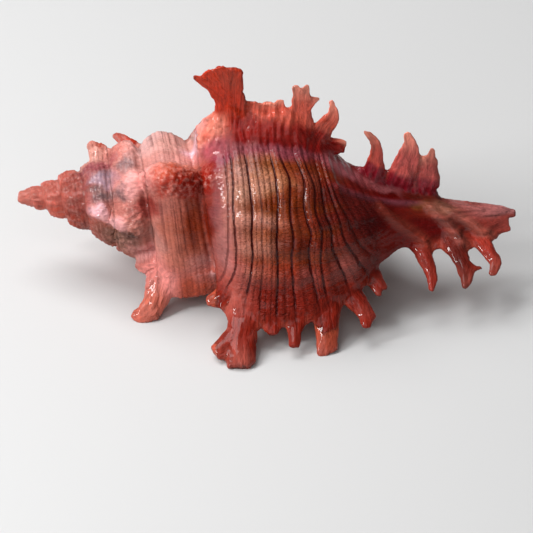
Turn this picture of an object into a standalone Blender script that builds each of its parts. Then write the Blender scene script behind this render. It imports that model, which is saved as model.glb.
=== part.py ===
"""Murex shell: a sea shell with leafy varices, grown as one piece.

The coiling axis runs along X, apex towards -X and siphonal canal towards +X. Angles
round the axis are measured from the side that faces the viewer. The shell lies on the
worn tips of its fronds, which are flat at z = 0.
"""
import math

import bmesh
import bpy
import numpy as np
from mathutils import Matrix, Vector

MM = 0.001

# Driving dimensions, in millimetres and degrees
LENGTH = 80.0
AXIS_HEIGHT = 12.9
# Puts the middle of the shell's outline over the origin
ORIGIN_SHIFT = (-0.2, 2.9, 0.0)
# The varices lean a little: what stands higher, seen from VIEW_RAISE degrees up, lies
# nearer the apex by this share of its height
SKEW = -0.03
VIEW_RAISE = 35.0
UP_ANGLE = 55.0
LIP_ANGLE = -60.0
CREST_ANGLE = 50.0
HIDDEN_ANGLE = 177.0
OLD_ANGLE = 285.0
HIDDEN_SCALE = 0.885

# Distance of the suture from the apex on each whole turn, the last one at 27.6
SUTURES = (0.9, 1.8, 3.7, 6.4, 10.0, 14.4, 19.4, 27.6)
GROWTH = 1.45
FULLNESS = 0.52
SPIRE_FULLNESS = 0.038
FULLER_BEFORE = -0.5

# Whorl's outline: share of a turn past its suture, share of its full radius, for the
# whorl before the last, the younger ones and the last
SPIRE_PROFILE = ((0.0, 0.76), (0.1, 0.86), (0.25, 0.95), (0.45, 1.0), (0.7, 0.98),
                 (0.88, 0.92), (0.95, 0.86), (1.0, 1.0))
YOUNG_PROFILE = ((0.0, 0.76), (0.12, 0.84), (0.3, 0.91), (0.5, 0.97), (0.7, 1.02),
                 (0.86, 1.0), (0.95, 0.86), (1.0, 1.0))
BODY_PROFILE = ((0.0, 0.72), (0.08, 0.80), (0.2, 0.90), (0.38, 0.97), (0.66, 1.0),
                (0.9, 0.995), (1.18, 0.94), (1.4, 0.83), (1.58, 0.65), (1.73, 0.47),
                (1.87, 0.34), (2.06, 0.24), (2.24, 0.19), (2.44, 0.12))

# Broad spiral cords of the body whorl: share of a turn between them, height
CORD_PITCH = 0.24
CORD_HEIGHT = 0.22
CORDS_BEGIN = 0.25
CORDS_END = 1.6
CORD_FADE = 8.0

# The young whorls lean up a little from the axis
SPIRE_LEAN = 0.25
LEAN_END = 18.0

# The blunt apex: how much fuller it is, its distance from the tip and its reach
APEX_FULLER = 0.5
APEX_MIDDLE = 1.6
APEX_REACH = 1.8

# Siphonal canal: distance from the apex, radius
CANAL = ((50.0, 0.0), (54.0, 3.9), (58.3, 4.1), (61.5, 3.2), (68.0, 1.9), (74.5, 1.35),
         (78.0, 1.0), (79.2, 0.6))

# Edges of the varices: distance from the apex, radius
LIP_EDGE = ((31.5, 17.8), (33.5, 21.2), (35.5, 23.0), (40.0, 23.7), (43.5, 22.9),
            (47.5, 22.0), (51.0, 19.6), (54.0, 17.3), (56.4, 14.1), (58.0, 9.7),
            (60.0, 7.3), (63.0, 7.7), (68.0, 8.1), (71.0, 8.4), (74.0, 7.2),
            (76.2, 5.0), (78.6, 2.0))
CREST_EDGE = ((27.6, 12.8), (29.9, 17.0), (32.0, 18.8), (36.6, 19.2), (39.4, 20.2),
              (43.6, 20.3), (46.2, 18.4), (48.3, 15.8), (49.6, 13.2), (51.0, 9.4),
              (52.8, 7.9), (55.0, 8.4), (58.3, 7.1), (60.7, 7.4), (63.4, 8.0),
              (66.0, 8.0), (67.0, 6.2), (67.8, 2.4))
OLD_EDGE = ((17.4, 8.0), (18.6, 10.6), (20.6, 14.1), (23.8, 16.2), (26.7, 16.2),
            (30.2, 15.6), (33.4, 13.7), (37.4, 9.0), (40.0, 4.0))

# Fronds: points along each prong, as distance from the apex, radius, half width and,
# where the prong leaves the plane of its varix, how far it leans towards the aperture
CREST_FRONDS = (
    ((34.2, 16.0, 2.5), (34.0, 20.0, 2.2), (33.2, 22.0, 1.7), (31.4, 24.1, 1.2), (28.4, 25.6, 0.5)),
    ((34.2, 18.0, 2.2), (33.8, 22.0, 1.9), (32.6, 24.3, 1.6), (30.4, 26.6, 0.9)),
    ((34.2, 16.0, 2.5), (34.0, 21.0, 2.1), (33.6, 24.4, 1.8), (32.5, 27.7, 1.0)),
    ((34.6, 16.0, 2.5), (34.7, 21.0, 1.9), (34.9, 24.4, 1.7), (35.3, 27.4, 1.2)),
    ((34.8, 19.6, 1.2), (35.8, 21.6, 0.7), (36.6, 22.4, 0.4)),
    ((37.7, 18.5, 1.2), (37.7, 20.9, 1.0)),
    ((40.2, 18.5, 1.4), (40.2, 20.8, 1.2)),
    ((42.2, 18.5, 1.1), (42.2, 21.6, 0.6)),
    ((45.8, 16.5, 1.9), (45.3, 20.6, 1.2), (44.6, 24.5, 0.7)),
    ((45.8, 16.5, 1.9), (45.8, 20.6, 1.1), (46.5, 24.6, 0.6)),
    ((45.8, 18.6, 1.3), (46.6, 21.6, 0.8), (48.6, 22.1, 0.5)),
    ((47.4, 13.5, 2.0), (49.7, 16.8, 1.6), (51.0, 18.9, 1.1), (50.2, 21.8, 0.4)),
    ((47.5, 11.5, 2.2), (50.2, 12.7, 1.8), (52.7, 12.3, 1.2)),
    ((57.0, 6.5, 2.1), (57.7, 10.5, 1.2), (57.5, 13.2, 1.0), (56.7, 14.6, 0.8), (55.4, 15.8, 0.4)),
    ((61.4, 6.0, 2.5), (62.5, 10.5, 1.9), (63.1, 12.8, 1.5), (62.4, 15.7, 0.6)),
    ((66.0, 5.0, 1.9), (66.4, 9.0, 1.4), (66.4, 12.7, 0.5)),
    ((65.4, 6.0, 1.6), (65.3, 8.5, 1.2), (65.0, 11.2, 0.5)),
)
LIP_FRONDS = (
    ((36.0, 15.5, 3.0), (33.2, 18.0, 2.2), (30.4, 18.2, 0.9)),
    ((36.8, 18.0, 2.9), (36.2, 23.5, 2.3), (35.6, 27.0, 2.5), (35.8, 30.2, 2.0)),
    ((36.2, 22.5, 2.0), (34.6, 26.0, 1.9), (31.8, 27.7, 1.5)),
    ((36.6, 24.0, 2.0), (37.3, 29.3, 1.4)),
    ((41.0, 22.0, 1.4), (41.0, 24.1, 0.9)),
    ((44.8, 20.5, 1.7), (44.6, 24.0, 1.1), (44.4, 26.2, 1.0)),
    ((49.6, 18.5, 2.2), (49.6, 23.2, 1.8, 0.8), (48.8, 26.4, 0.9, 2.2)),
    ((49.8, 18.5, 2.2), (49.9, 23.2, 1.6, 0.8), (50.6, 25.4, 0.9, 2.2)),
    ((52.2, 14.0, 2.6), (54.6, 17.6, 1.8), (56.0, 19.8, 1.4), (55.9, 22.3, 0.8)),
    ((55.0, 17.6, 1.4), (57.0, 20.6, 0.9)),
    ((54.4, 9.5, 2.6), (57.0, 12.6, 1.8), (58.2, 14.3, 1.1), (59.4, 14.9, 0.5)),
    ((57.2, 12.6, 1.5), (58.0, 16.4, 0.6)),
    ((64.2, 5.5, 1.9), (65.8, 10.0, 1.3), (66.6, 12.6, 1.1), (66.3, 15.2, 0.6)),
    ((69.8, 6.0, 2.0), (71.4, 9.8, 1.3), (72.2, 12.4, 1.3), (71.5, 14.6, 0.6)),
    ((71.4, 10.0, 1.3), (73.0, 10.9, 0.8), (74.6, 10.5, 0.4)),
    ((73.8, 4.5, 1.6), (76.2, 8.2, 1.3), (76.8, 10.0, 1.1), (75.9, 12.0, 0.7)),
    ((70.0, 0.5, 1.6), (76.0, 0.3, 1.3), (80.2, 0.2, 0.8)),
    ((70.0, 3.0, 2.0), (76.0, 3.4, 1.6), (79.2, 2.9, 0.8)),
    ((72.0, 4.6, 1.4), (77.0, 4.5, 0.8)),
)
HIDDEN_FRONDS = (
    ((31.0, 13.5, 2.6), (30.6, 19.0, 2.1), (29.4, 22.8, 1.8), (28.2, 25.5, 1.5)),
    ((31.0, 13.5, 2.6), (31.2, 19.0, 1.9), (31.6, 25.5, 1.6)),
    ((35.0, 16.5, 1.2), (35.0, 19.0, 0.8)),
    ((37.6, 16.5, 1.2), (37.6, 19.0, 0.9)),
    ((41.2, 14.5, 1.9), (41.6, 19.0, 1.6), (41.2, 22.5, 1.4), (41.0, 25.5, 1.3)),
    ((41.6, 18.0, 1.3), (43.6, 20.4, 0.8), (44.6, 20.6, 0.5)),
    ((43.0, 12.0, 1.8), (45.8, 16.0, 1.4), (46.4, 19.0, 0.6)),
    ((44.0, 9.0, 1.5), (47.5, 11.2, 1.0)),
    ((50.6, 6.0, 2.0), (51.6, 10.0, 1.3), (50.6, 14.0, 0.5)),
    ((55.0, 5.0, 1.8), (56.2, 9.5, 1.3), (55.8, 12.8, 0.5)),
)
OLD_FRONDS = (
    ((25.0, 9.0, 3.2), (21.8, 10.2, 3.2), (19.4, 9.4, 1.8)),
    ((23.8, 12.0, 3.0), (21.9, 13.6, 2.2), (21.2, 13.8, 1.5)),
    ((23.4, 13.0, 2.8), (22.4, 16.6, 2.0), (21.3, 18.3, 1.9), (19.8, 19.2, 1.4), (18.4, 19.0, 0.8)),
    ((22.2, 16.6, 1.7), (21.5, 19.4, 1.2)),
)

# Fronds by the angle of their varix, then single prongs of the older whorls
FRONDS_BY_ANGLE = (
    (LIP_ANGLE, LIP_FRONDS),
    (CREST_ANGLE, CREST_FRONDS),
    (HIDDEN_ANGLE, HIDDEN_FRONDS),
    (OLD_ANGLE, OLD_FRONDS),
    (125.0, (((19.4, 9.5, 1.6), (17.4, 11.8, 1.3), (15.3, 13.1, 0.7)),)),
    (85.0, (((13.6, 6.0, 1.9), (12.4, 8.0, 1.3), (11.6, 9.4, 0.7)),
            ((14.6, 6.4, 1.6), (13.5, 8.1, 1.2), (13.0, 8.8, 0.8)))),
    (230.0, (((17.0, 8.0, 1.6), (16.4, 10.8, 0.7)),)),
)

# Rounded varices of the older whorls: angle, height as a share of the whorl's radius
KNOBS = ((373.0, 0.28), (447.0, 0.08), (485.0, 0.18), (590.0, 0.18), (696.0, 0.26),
         (800.0, 0.16), (905.0, 0.12), (1010.0, 0.06), (1115.0, 0.12))
KNOB_WIDTH = 13.0

# Aperture: middle of its mouth, how far it lies from the lip in degrees, half sizes
# along the axis and across it; then the turn the bag follows inwards in degrees, how far
# it runs towards the apex, and how much nearer the axis and how much narrower it gets
MOUTH_DISTANCE = 44.5
MOUTH_RADIUS = 10.4
MOUTH_FROM_LIP = 14.0
MOUTH_HALF_LENGTH = 8.6
MOUTH_HALF_WIDTH = 4.9
POCKET_DEPTH = 100.0
POCKET_CLIMB = 5.0
POCKET_CURL = 0.12
POCKET_TAPER = 0.55

# Slot of the siphonal canal: its angle from the lip, then distance from the apex,
# radius and half width along it
SLOT_FROM_LIP = 17.0
SLOT = ((50.0, 7.6, 1.5), (54.0, 5.4, 1.2), (58.0, 4.6, 0.95), (64.0, 3.4, 0.8),
        (72.0, 2.3, 0.65), (77.0, 1.9, 0.6))

FROND_THINNESS = 0.55
VOXEL = 0.45
TRIANGLE_SHARE = 0.094
SMOOTH_PASSES = 3

# The coiled body: its grid, the columns of the lip wall, how near its sweep comes to a
# full turn, where it ends, and the distance within which points are welded
ROWS = 200
COLUMNS = 180
WALL_COLUMNS = 12
SWEEP = 359.98
BODY_END = 79.4
WELD = 1e-7

SHELL_COLOUR = (0.42, 0.06, 0.03, 1.0)
SHELL_ROUGHNESS = 0.3


def out_from_axis(angle):
    """Unit vector square to the axis, at an angle from the viewer's side."""
    turned = math.radians(UP_ANGLE - angle)
    return Vector((0.0, -math.sin(turned), math.cos(turned)))


def suture_table():
    """Whole turns and the suture's distance from the apex on each of them."""
    marks = list(SUTURES) + [SUTURES[-1] * GROWTH ** step for step in (1, 2, 3)]
    turns = [index + 1 - len(SUTURES) for index in range(len(marks))]
    return turns, np.log(marks)


def turn_at(distance):
    """Turn on which the suture lies at a distance from the apex."""
    turns, marks = suture_table()
    return np.interp(np.log(np.maximum(distance, 0.01)), marks, turns)


def suture_at(turn):
    """Distance from the apex of the suture on a turn."""
    turns, marks = suture_table()
    return np.exp(np.interp(turn, turns, marks))


def read_off(points, where):
    """Height of an outline at every place in an array, and nought past its ends."""
    along = [point[0] for point in points]
    height = [point[1] for point in points]
    return np.interp(where, along, height, left=0.0, right=0.0)


def growth_turn(angle):
    """Turn on which the shell had grown as far as an angle."""
    return (90.0 - angle) / 360.0


# Varices of the last turn: angle, edge, slope behind and slope in front in degrees
RIDGES = (
    (LIP_ANGLE, LIP_EDGE, 12.0, 1.0),
    (CREST_ANGLE, CREST_EDGE, 16.0, 16.0),
    (HIDDEN_ANGLE, [(d * HIDDEN_SCALE, r * HIDDEN_SCALE) for d, r in CREST_EDGE], 16.0, 14.0),
    (OLD_ANGLE, OLD_EDGE, 16.0, 14.0),
)


def radius_of(distance, angle):
    """Radius of the coiled body at distances from the apex and angles."""
    angle = (angle - LIP_ANGLE) % 360.0 + LIP_ANGLE
    past = turn_at(distance) - growth_turn(angle)
    whorl = np.minimum(np.floor(past), 0.0)
    share = past - whorl
    turn = growth_turn(angle) + whorl
    full = suture_at(turn) * (FULLNESS - SPIRE_FULLNESS * np.minimum(turn - FULLER_BEFORE, 0.0))
    spire = np.where(whorl < -1, read_off(YOUNG_PROFILE, share), read_off(SPIRE_PROFILE, share))
    outline = np.where(whorl < 0, spire, read_off(BODY_PROFILE, share))
    radius = np.maximum(full * outline, read_off(CANAL, distance))
    radius = radius + APEX_FULLER * np.exp(-(((distance - APEX_MIDDLE) / APEX_REACH) ** 2))
    for centre, height in KNOBS:
        offset = (turn - growth_turn(centre)) * 360.0
        swell = full * height * np.sin(math.pi * np.clip(share, 0.0, 1.0)) ** 0.5
        swell = np.where(whorl < 0, swell, 0.0)
        radius = radius + swell * np.exp(-((offset / KNOB_WIDTH) ** 2))
    begun = np.clip((share - CORDS_BEGIN) * CORD_FADE, 0.0, 1.0)
    on_body = begun * np.clip((CORDS_END - share) * CORD_FADE, 0.0, 1.0)
    cords = np.cos(2.0 * math.pi * share / CORD_PITCH) * CORD_HEIGHT * on_body
    leaning = np.sin(math.pi * np.clip(distance / LEAN_END, 0.0, 1.0))
    lean = SPIRE_LEAN * leaning * np.sin(np.radians(angle))
    radius = radius + np.where(whorl < 0, 0.0, cords) + lean
    grown = radius
    for centre, edge, back, front in RIDGES:
        offset = (turn - growth_turn(centre)) * 360.0
        slope = np.where(offset < 0, np.exp(np.minimum(offset, 0.0) / back),
                         np.clip(1.0 - offset / front, 0.0, 1.0))
        rise = np.maximum(read_off(edge, distance) - radius, 0.0)
        grown = np.maximum(grown, radius + rise * slope)
    return grown


def coiled_body():
    """Closed mesh of the coiled whorls: a grid bent round the axis."""
    work = bmesh.new()
    both = COLUMNS + WALL_COLUMNS
    bmesh.ops.create_grid(work, x_segments=ROWS, y_segments=both, size=0.5)
    flat = np.array([vertex.co[:2] for vertex in work.verts]) + 0.5
    distance = flat[:, 0] * BODY_END
    round_share = np.clip(flat[:, 1] * both / COLUMNS, 0.0, 1.0)
    angle = LIP_ANGLE + round_share * SWEEP
    lip = radius_of(distance, np.full_like(distance, LIP_ANGLE))
    up_wall = np.clip((flat[:, 1] * both - COLUMNS) / WALL_COLUMNS, 0.0, 1.0)
    radius = radius_of(distance, angle) * (1.0 - up_wall) + lip * up_wall
    angle = angle + up_wall * (360.0 - SWEEP)
    radius[(flat[:, 0] < WELD) | (flat[:, 0] > 1.0 - WELD)] = 0.0
    turned = np.radians(UP_ANGLE - angle)
    for index, vertex in enumerate(work.verts):
        vertex.co = Vector((distance[index] - LENGTH / 2.0,
                            -radius[index] * math.sin(turned[index]),
                            AXIS_HEIGHT + radius[index] * math.cos(turned[index]))) * MM
    bmesh.ops.remove_doubles(work, verts=work.verts, dist=WELD)
    bmesh.ops.recalc_face_normals(work, faces=work.faces)
    mesh = bpy.data.meshes.new("coiled_body")
    work.to_mesh(mesh)
    work.free()
    return mesh


def mesh_of_curve(curve, matrix):
    """Closed mesh of a bevelled curve, placed by a matrix."""
    holder = bpy.data.objects.new("frond_guide", curve)
    bpy.context.scene.collection.objects.link(holder)
    bpy.context.view_layer.update()
    evaluated = holder.evaluated_get(bpy.context.evaluated_depsgraph_get())
    mesh = bpy.data.meshes.new_from_object(evaluated)
    mesh.transform(matrix)
    bpy.data.objects.remove(holder)
    return mesh


def varix_matrix(angle, thinness):
    """Place of a varix: X along the axis, Y outwards, and Z through its thickness."""
    outwards = out_from_axis(angle)
    across = Vector((1.0, 0.0, 0.0)).cross(outwards) * thinness
    columns = (Vector((1.0, 0.0, 0.0)), outwards, across)
    turned = Matrix([[column[row] for column in columns] for row in range(3)]).to_4x4()
    return Matrix.Translation(Vector((0.0, 0.0, AXIS_HEIGHT * MM))) @ turned


def tube(name, lines, resolution):
    """Curve of round tubes through lines of points with a half width each."""
    curve = bpy.data.curves.new(name, "CURVE")
    curve.dimensions = "3D"
    curve.bevel_depth = MM
    curve.bevel_resolution = resolution
    curve.resolution_u = 4
    curve.use_fill_caps = True
    for line in lines:
        spline = curve.splines.new("NURBS")
        spline.points.add(len(line) - 1)
        for point, (along, out, through, half_width) in zip(spline.points, line):
            point.co = (along * MM, out * MM, through * MM, 1.0)
            point.radius = half_width
        spline.order_u = min(3, len(line))
        spline.use_endpoint_u = True
    return curve


def fronds(angle, prongs):
    """Flattened, tapering prongs that stand on one varix."""
    lines = []
    for prong in prongs:
        line = []
        for along, out, half_width, *lean in prong:
            through = lean[0] / FROND_THINNESS if lean else 0.0
            line.append((along - LENGTH / 2.0, out, through, half_width))
        lines.append(line)
    return mesh_of_curve(tube("fronds", lines, 2), varix_matrix(angle, FROND_THINNESS))


def pocket():
    """Mesh that is cut out for the aperture, a bag that follows the whorl inwards."""
    stretch = MOUTH_HALF_LENGTH / MOUTH_HALF_WIDTH
    bends = 9
    line = []
    for step in range(bends):
        share = step / (bends - 1)
        angle = LIP_ANGLE - MOUTH_FROM_LIP + share * POCKET_DEPTH
        outwards = out_from_axis(angle) * MOUTH_RADIUS * (1.0 - POCKET_CURL * share)
        along = (MOUTH_DISTANCE - LENGTH / 2.0 - POCKET_CLIMB * share) / stretch
        half_width = MOUTH_HALF_WIDTH * (1.0 - POCKET_TAPER * share ** 2)
        line.append((along, outwards.y, outwards.z, half_width))
    lengthen = Matrix.Diagonal(Vector((stretch, 1.0, 1.0, 1.0)))
    raised = Matrix.Translation(Vector((0.0, 0.0, AXIS_HEIGHT * MM)))
    return mesh_of_curve(tube("pocket", [line], 4), raised @ lengthen)


def canal_slot():
    """Mesh that is cut out for the narrow slot of the siphonal canal."""
    line = [(d - LENGTH / 2.0, r, 0.0, w) for d, r, w in SLOT]
    return mesh_of_curve(tube("canal_slot", [line], 2), varix_matrix(LIP_ANGLE - SLOT_FROM_LIP, 1.0))


def object_from(name, meshes, collection):
    """One object from several meshes, with the ends of the tubes welded."""
    work = bmesh.new()
    for mesh in meshes:
        work.from_mesh(mesh)
        bpy.data.meshes.remove(mesh)
    bmesh.ops.remove_doubles(work, verts=work.verts, dist=WELD)
    bmesh.ops.recalc_face_normals(work, faces=work.faces)
    joined = bpy.data.meshes.new(name)
    work.to_mesh(joined)
    work.free()
    joined.transform(skew_matrix())
    item = bpy.data.objects.new(name, joined)
    collection.objects.link(item)
    return item


def skew_matrix():
    """Lean of the whole shell along its axis."""
    raised = math.radians(VIEW_RAISE)
    leaning = Matrix.Identity(4)
    leaning[0][1] = SKEW * math.sin(raised)
    leaning[0][2] = SKEW * math.cos(raised)
    leaning[0][3] = -SKEW * math.cos(raised) * AXIS_HEIGHT * MM
    return leaning


def hide_as_cutter(item):
    """Marks an object as a cutter."""
    item.hide_render = True
    item.display_type = "WIRE"


def floor_block(collection):
    """Block above z = 0, which the shell is kept to so that its tips are worn flat."""
    work = bmesh.new()
    bmesh.ops.create_cube(work, size=1.0)
    size = LENGTH * 2.0 * MM
    for vertex in work.verts:
        vertex.co = Vector((vertex.co.x, vertex.co.y, vertex.co.z + 0.5)) * size
    mesh = bpy.data.meshes.new("floor_block")
    work.to_mesh(mesh)
    work.free()
    item = bpy.data.objects.new("floor_block", mesh)
    collection.objects.link(item)
    return item


def shell_material():
    """Glossy red-orange shell."""
    material = bpy.data.materials.new("murex_shell_red")
    material.use_nodes = True
    shader = material.node_tree.nodes["Principled BSDF"]
    shader.inputs["Base Color"].default_value = SHELL_COLOUR
    shader.inputs["Roughness"].default_value = SHELL_ROUGHNESS
    shader.inputs["Metallic"].default_value = 0.0
    return material


def remesh(item):
    """Fuses all that overlaps into one skin."""
    step = item.modifiers.new("fuse", "REMESH")
    step.mode = "VOXEL"
    step.voxel_size = VOXEL * MM
    step.use_smooth_shade = True


def cut(item, operation, cutter):
    """Boolean with the exact solver."""
    step = item.modifiers.new(operation.lower(), "BOOLEAN")
    step.operation = operation
    step.object = cutter
    step.solver = "EXACT"


def main():
    """Builds the shell."""
    for item in list(bpy.data.objects):
        bpy.data.objects.remove(item)
    parts = bpy.data.collections.new("murex_shell")
    cutters = bpy.data.collections.new("cutters")
    for collection in (parts, cutters):
        bpy.context.scene.collection.children.link(collection)
    meshes = [coiled_body()] + [fronds(angle, prongs) for angle, prongs in FRONDS_BY_ANGLE]
    shell = object_from("murex_shell", meshes, parts)
    shell.data.materials.append(shell_material())
    mouth = object_from("mouth_cutter", [pocket()], cutters)
    slot = object_from("slot_cutter", [canal_slot()], cutters)
    block = floor_block(cutters)
    for cutter in (mouth, slot, block):
        hide_as_cutter(cutter)
    for item in (shell, mouth, slot):
        item.location = Vector(ORIGIN_SHIFT) * MM
    remesh(shell)
    cut(shell, "DIFFERENCE", mouth)
    cut(shell, "DIFFERENCE", slot)
    remesh(shell)
    smooth = shell.modifiers.new("smooth", "SMOOTH")
    smooth.factor = 0.5
    smooth.iterations = SMOOTH_PASSES
    thin = shell.modifiers.new("fewer_faces", "DECIMATE")
    thin.ratio = TRIANGLE_SHARE
    cut(shell, "INTERSECT", block)


main()
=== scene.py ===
"""Murex shell: the looks of a leafy sea shell that grew as one piece.

The coiling axis runs along X, apex towards -X. Angles round the axis are in degrees
from the side that faces the viewer, and the shell grew towards smaller angles.
"""

import logging
import math
from dataclasses import dataclass, field
from enum import Enum
from typing import ClassVar

import bpy
import numpy as np
from mathutils import Matrix, Vector


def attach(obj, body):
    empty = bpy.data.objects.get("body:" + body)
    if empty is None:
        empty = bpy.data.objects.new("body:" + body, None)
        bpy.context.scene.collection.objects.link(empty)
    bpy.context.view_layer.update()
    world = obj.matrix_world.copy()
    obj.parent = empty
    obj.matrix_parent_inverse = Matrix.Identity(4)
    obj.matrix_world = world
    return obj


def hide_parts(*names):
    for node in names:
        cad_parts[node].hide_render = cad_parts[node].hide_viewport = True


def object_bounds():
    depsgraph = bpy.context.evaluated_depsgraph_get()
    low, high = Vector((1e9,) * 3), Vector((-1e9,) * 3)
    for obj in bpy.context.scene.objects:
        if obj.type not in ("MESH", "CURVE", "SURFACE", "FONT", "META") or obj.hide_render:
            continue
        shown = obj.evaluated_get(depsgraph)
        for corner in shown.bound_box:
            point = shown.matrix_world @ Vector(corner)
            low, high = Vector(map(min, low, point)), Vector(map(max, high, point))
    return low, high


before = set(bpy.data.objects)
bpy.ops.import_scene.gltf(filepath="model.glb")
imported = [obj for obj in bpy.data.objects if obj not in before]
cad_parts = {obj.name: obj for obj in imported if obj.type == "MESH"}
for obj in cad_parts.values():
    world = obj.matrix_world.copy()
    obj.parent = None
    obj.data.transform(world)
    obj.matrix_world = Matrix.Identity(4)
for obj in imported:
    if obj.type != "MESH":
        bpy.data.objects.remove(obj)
CAD_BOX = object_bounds()

logging.basicConfig(level=logging.INFO, format="%(message)s")
LOG = logging.getLogger("murex")

MM = 0.001
LENGTH = 80.0
AXIS_HEIGHT = 12.9
ORIGIN_SHIFT = (-0.2, 2.9, 0.0)
UP_ANGLE = 55.0
LIP_ANGLE = -60.0
CREST_ANGLE = 50.0
HIDDEN_ANGLE = 177.0
OLD_ANGLE = 285.0
HIDDEN_SCALE = 0.885
SKEW = -0.03
VIEW_RAISE = 35.0

Outline = tuple[tuple[float, float], ...]
Prong = tuple[tuple[float, ...], ...]
Socket = bpy.types.NodeSocket


def linear(code: str) -> tuple[float, float, float]:
    """Turns an sRGB hex colour into linear values.

    Args:
        code: Six hex digits after a hash.
    Returns:
        Red, green and blue in linear light.
    """
    parts = [int(code[start:start + 2], 16) / 255.0 for start in (1, 3, 5)]
    return tuple(v / 12.92 if v <= 0.04045 else ((v + 0.055) / 1.055) ** 2.4 for v in parts)


def read_off(points: Outline, where: np.ndarray) -> np.ndarray:
    """Height of an outline at every place in an array, and nought past its ends."""
    return np.interp(where, [p[0] for p in points], [p[1] for p in points], left=0.0, right=0.0)


def smooth_step(low: float, high: float, value: np.ndarray) -> np.ndarray:
    """Rises smoothly from 0 at low to 1 at high."""
    share = np.clip((value - low) / (high - low), 0.0, 1.0)
    return share * share * (3.0 - 2.0 * share)


def out_from_axis(angle: float) -> Vector:
    """Unit vector square to the axis, at an angle from the viewer's side."""
    turned = math.radians(UP_ANGLE - angle)
    return Vector((0.0, -math.sin(turned), math.cos(turned)))


def skew_rows() -> tuple[float, float, float]:
    """How far a point moves along the axis for each millimetre across and up, and for none."""
    raised = math.radians(VIEW_RAISE)
    return SKEW * math.sin(raised), SKEW * math.cos(raised), -SKEW * math.cos(raised) * AXIS_HEIGHT


def skew_matrix() -> Matrix:
    """Lean of the whole shell along its axis, about the axis where it is placed."""
    across, up, none = skew_rows()
    leaning = Matrix.Identity(4)
    leaning[0][1] = across
    leaning[0][2] = up
    leaning[0][3] = (none - across * ORIGIN_SHIFT[1]) * MM
    return leaning


def leaned(points: np.ndarray) -> np.ndarray:
    """Points in millimetres after the lean of the whole shell."""
    lean = np.array(skew_matrix())
    return points @ lean[:3, :3].T + lean[:3, 3] / MM


def in_space(distance: np.ndarray, turned: np.ndarray, radius: np.ndarray) -> np.ndarray:
    """Points in millimetres, before the lean, from their places on the coil.

    Args:
        distance: Distances from the apex.
        turned: Angles from straight up, in radians.
        radius: Distances from the axis.
    Returns:
        One row for each point.
    """
    return np.stack((distance - LENGTH / 2.0 + ORIGIN_SHIFT[0], ORIGIN_SHIFT[1] - radius * np.sin(turned),
                     AXIS_HEIGHT + radius * np.cos(turned)), axis=1)


def activate(*items: bpy.types.Object) -> None:
    """Selects these objects alone, and makes the first one active."""
    bpy.ops.object.select_all(action="DESELECT")
    for item in items:
        item.select_set(True)
    bpy.context.view_layer.objects.active = items[0]


class Ripples:
    """Smooth seeded unevenness, a sum of plane waves of about one wavelength."""

    def __init__(self, seed: int, wavelength: float, count: int = 26) -> None:
        """Draws the waves.

        Args:
            seed: Start of the random numbers.
            wavelength: Middle wavelength in millimetres.
            count: How many waves are added up.
        """
        draw = np.random.default_rng(seed)
        ways = draw.normal(size=(count, 3))
        ways /= np.linalg.norm(ways, axis=1)[:, None]
        self.waves = ways * (2.0 * math.pi / (wavelength * draw.uniform(0.65, 1.5, (count, 1))))
        self.starts = draw.uniform(0.0, 2.0 * math.pi, count)

    def at(self, points: np.ndarray) -> np.ndarray:
        """Height at each point, mostly between -1 and 1."""
        return np.sin(points @ self.waves.T + self.starts).sum(axis=1) / math.sqrt(len(self.starts))


@dataclass
class Places:
    """Where each point of the skin lies on the coil."""

    distance: np.ndarray
    angle: np.ndarray
    radius: np.ndarray
    whorl: np.ndarray
    share: np.ndarray
    turn: np.ndarray

    def followed(self) -> "Places":
        """The same places, with the start of the last turn told as the whorl before it.

        Past the lip's angle the count of whorls begins anew, though the skin runs on there.
        """
        early = self.angle > 262.0
        return Places(self.distance, np.where(early, self.angle - 360.0, self.angle), self.radius,
                      np.where(early & (self.whorl == 0), -1.0, self.whorl), self.share, self.turn)


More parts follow.
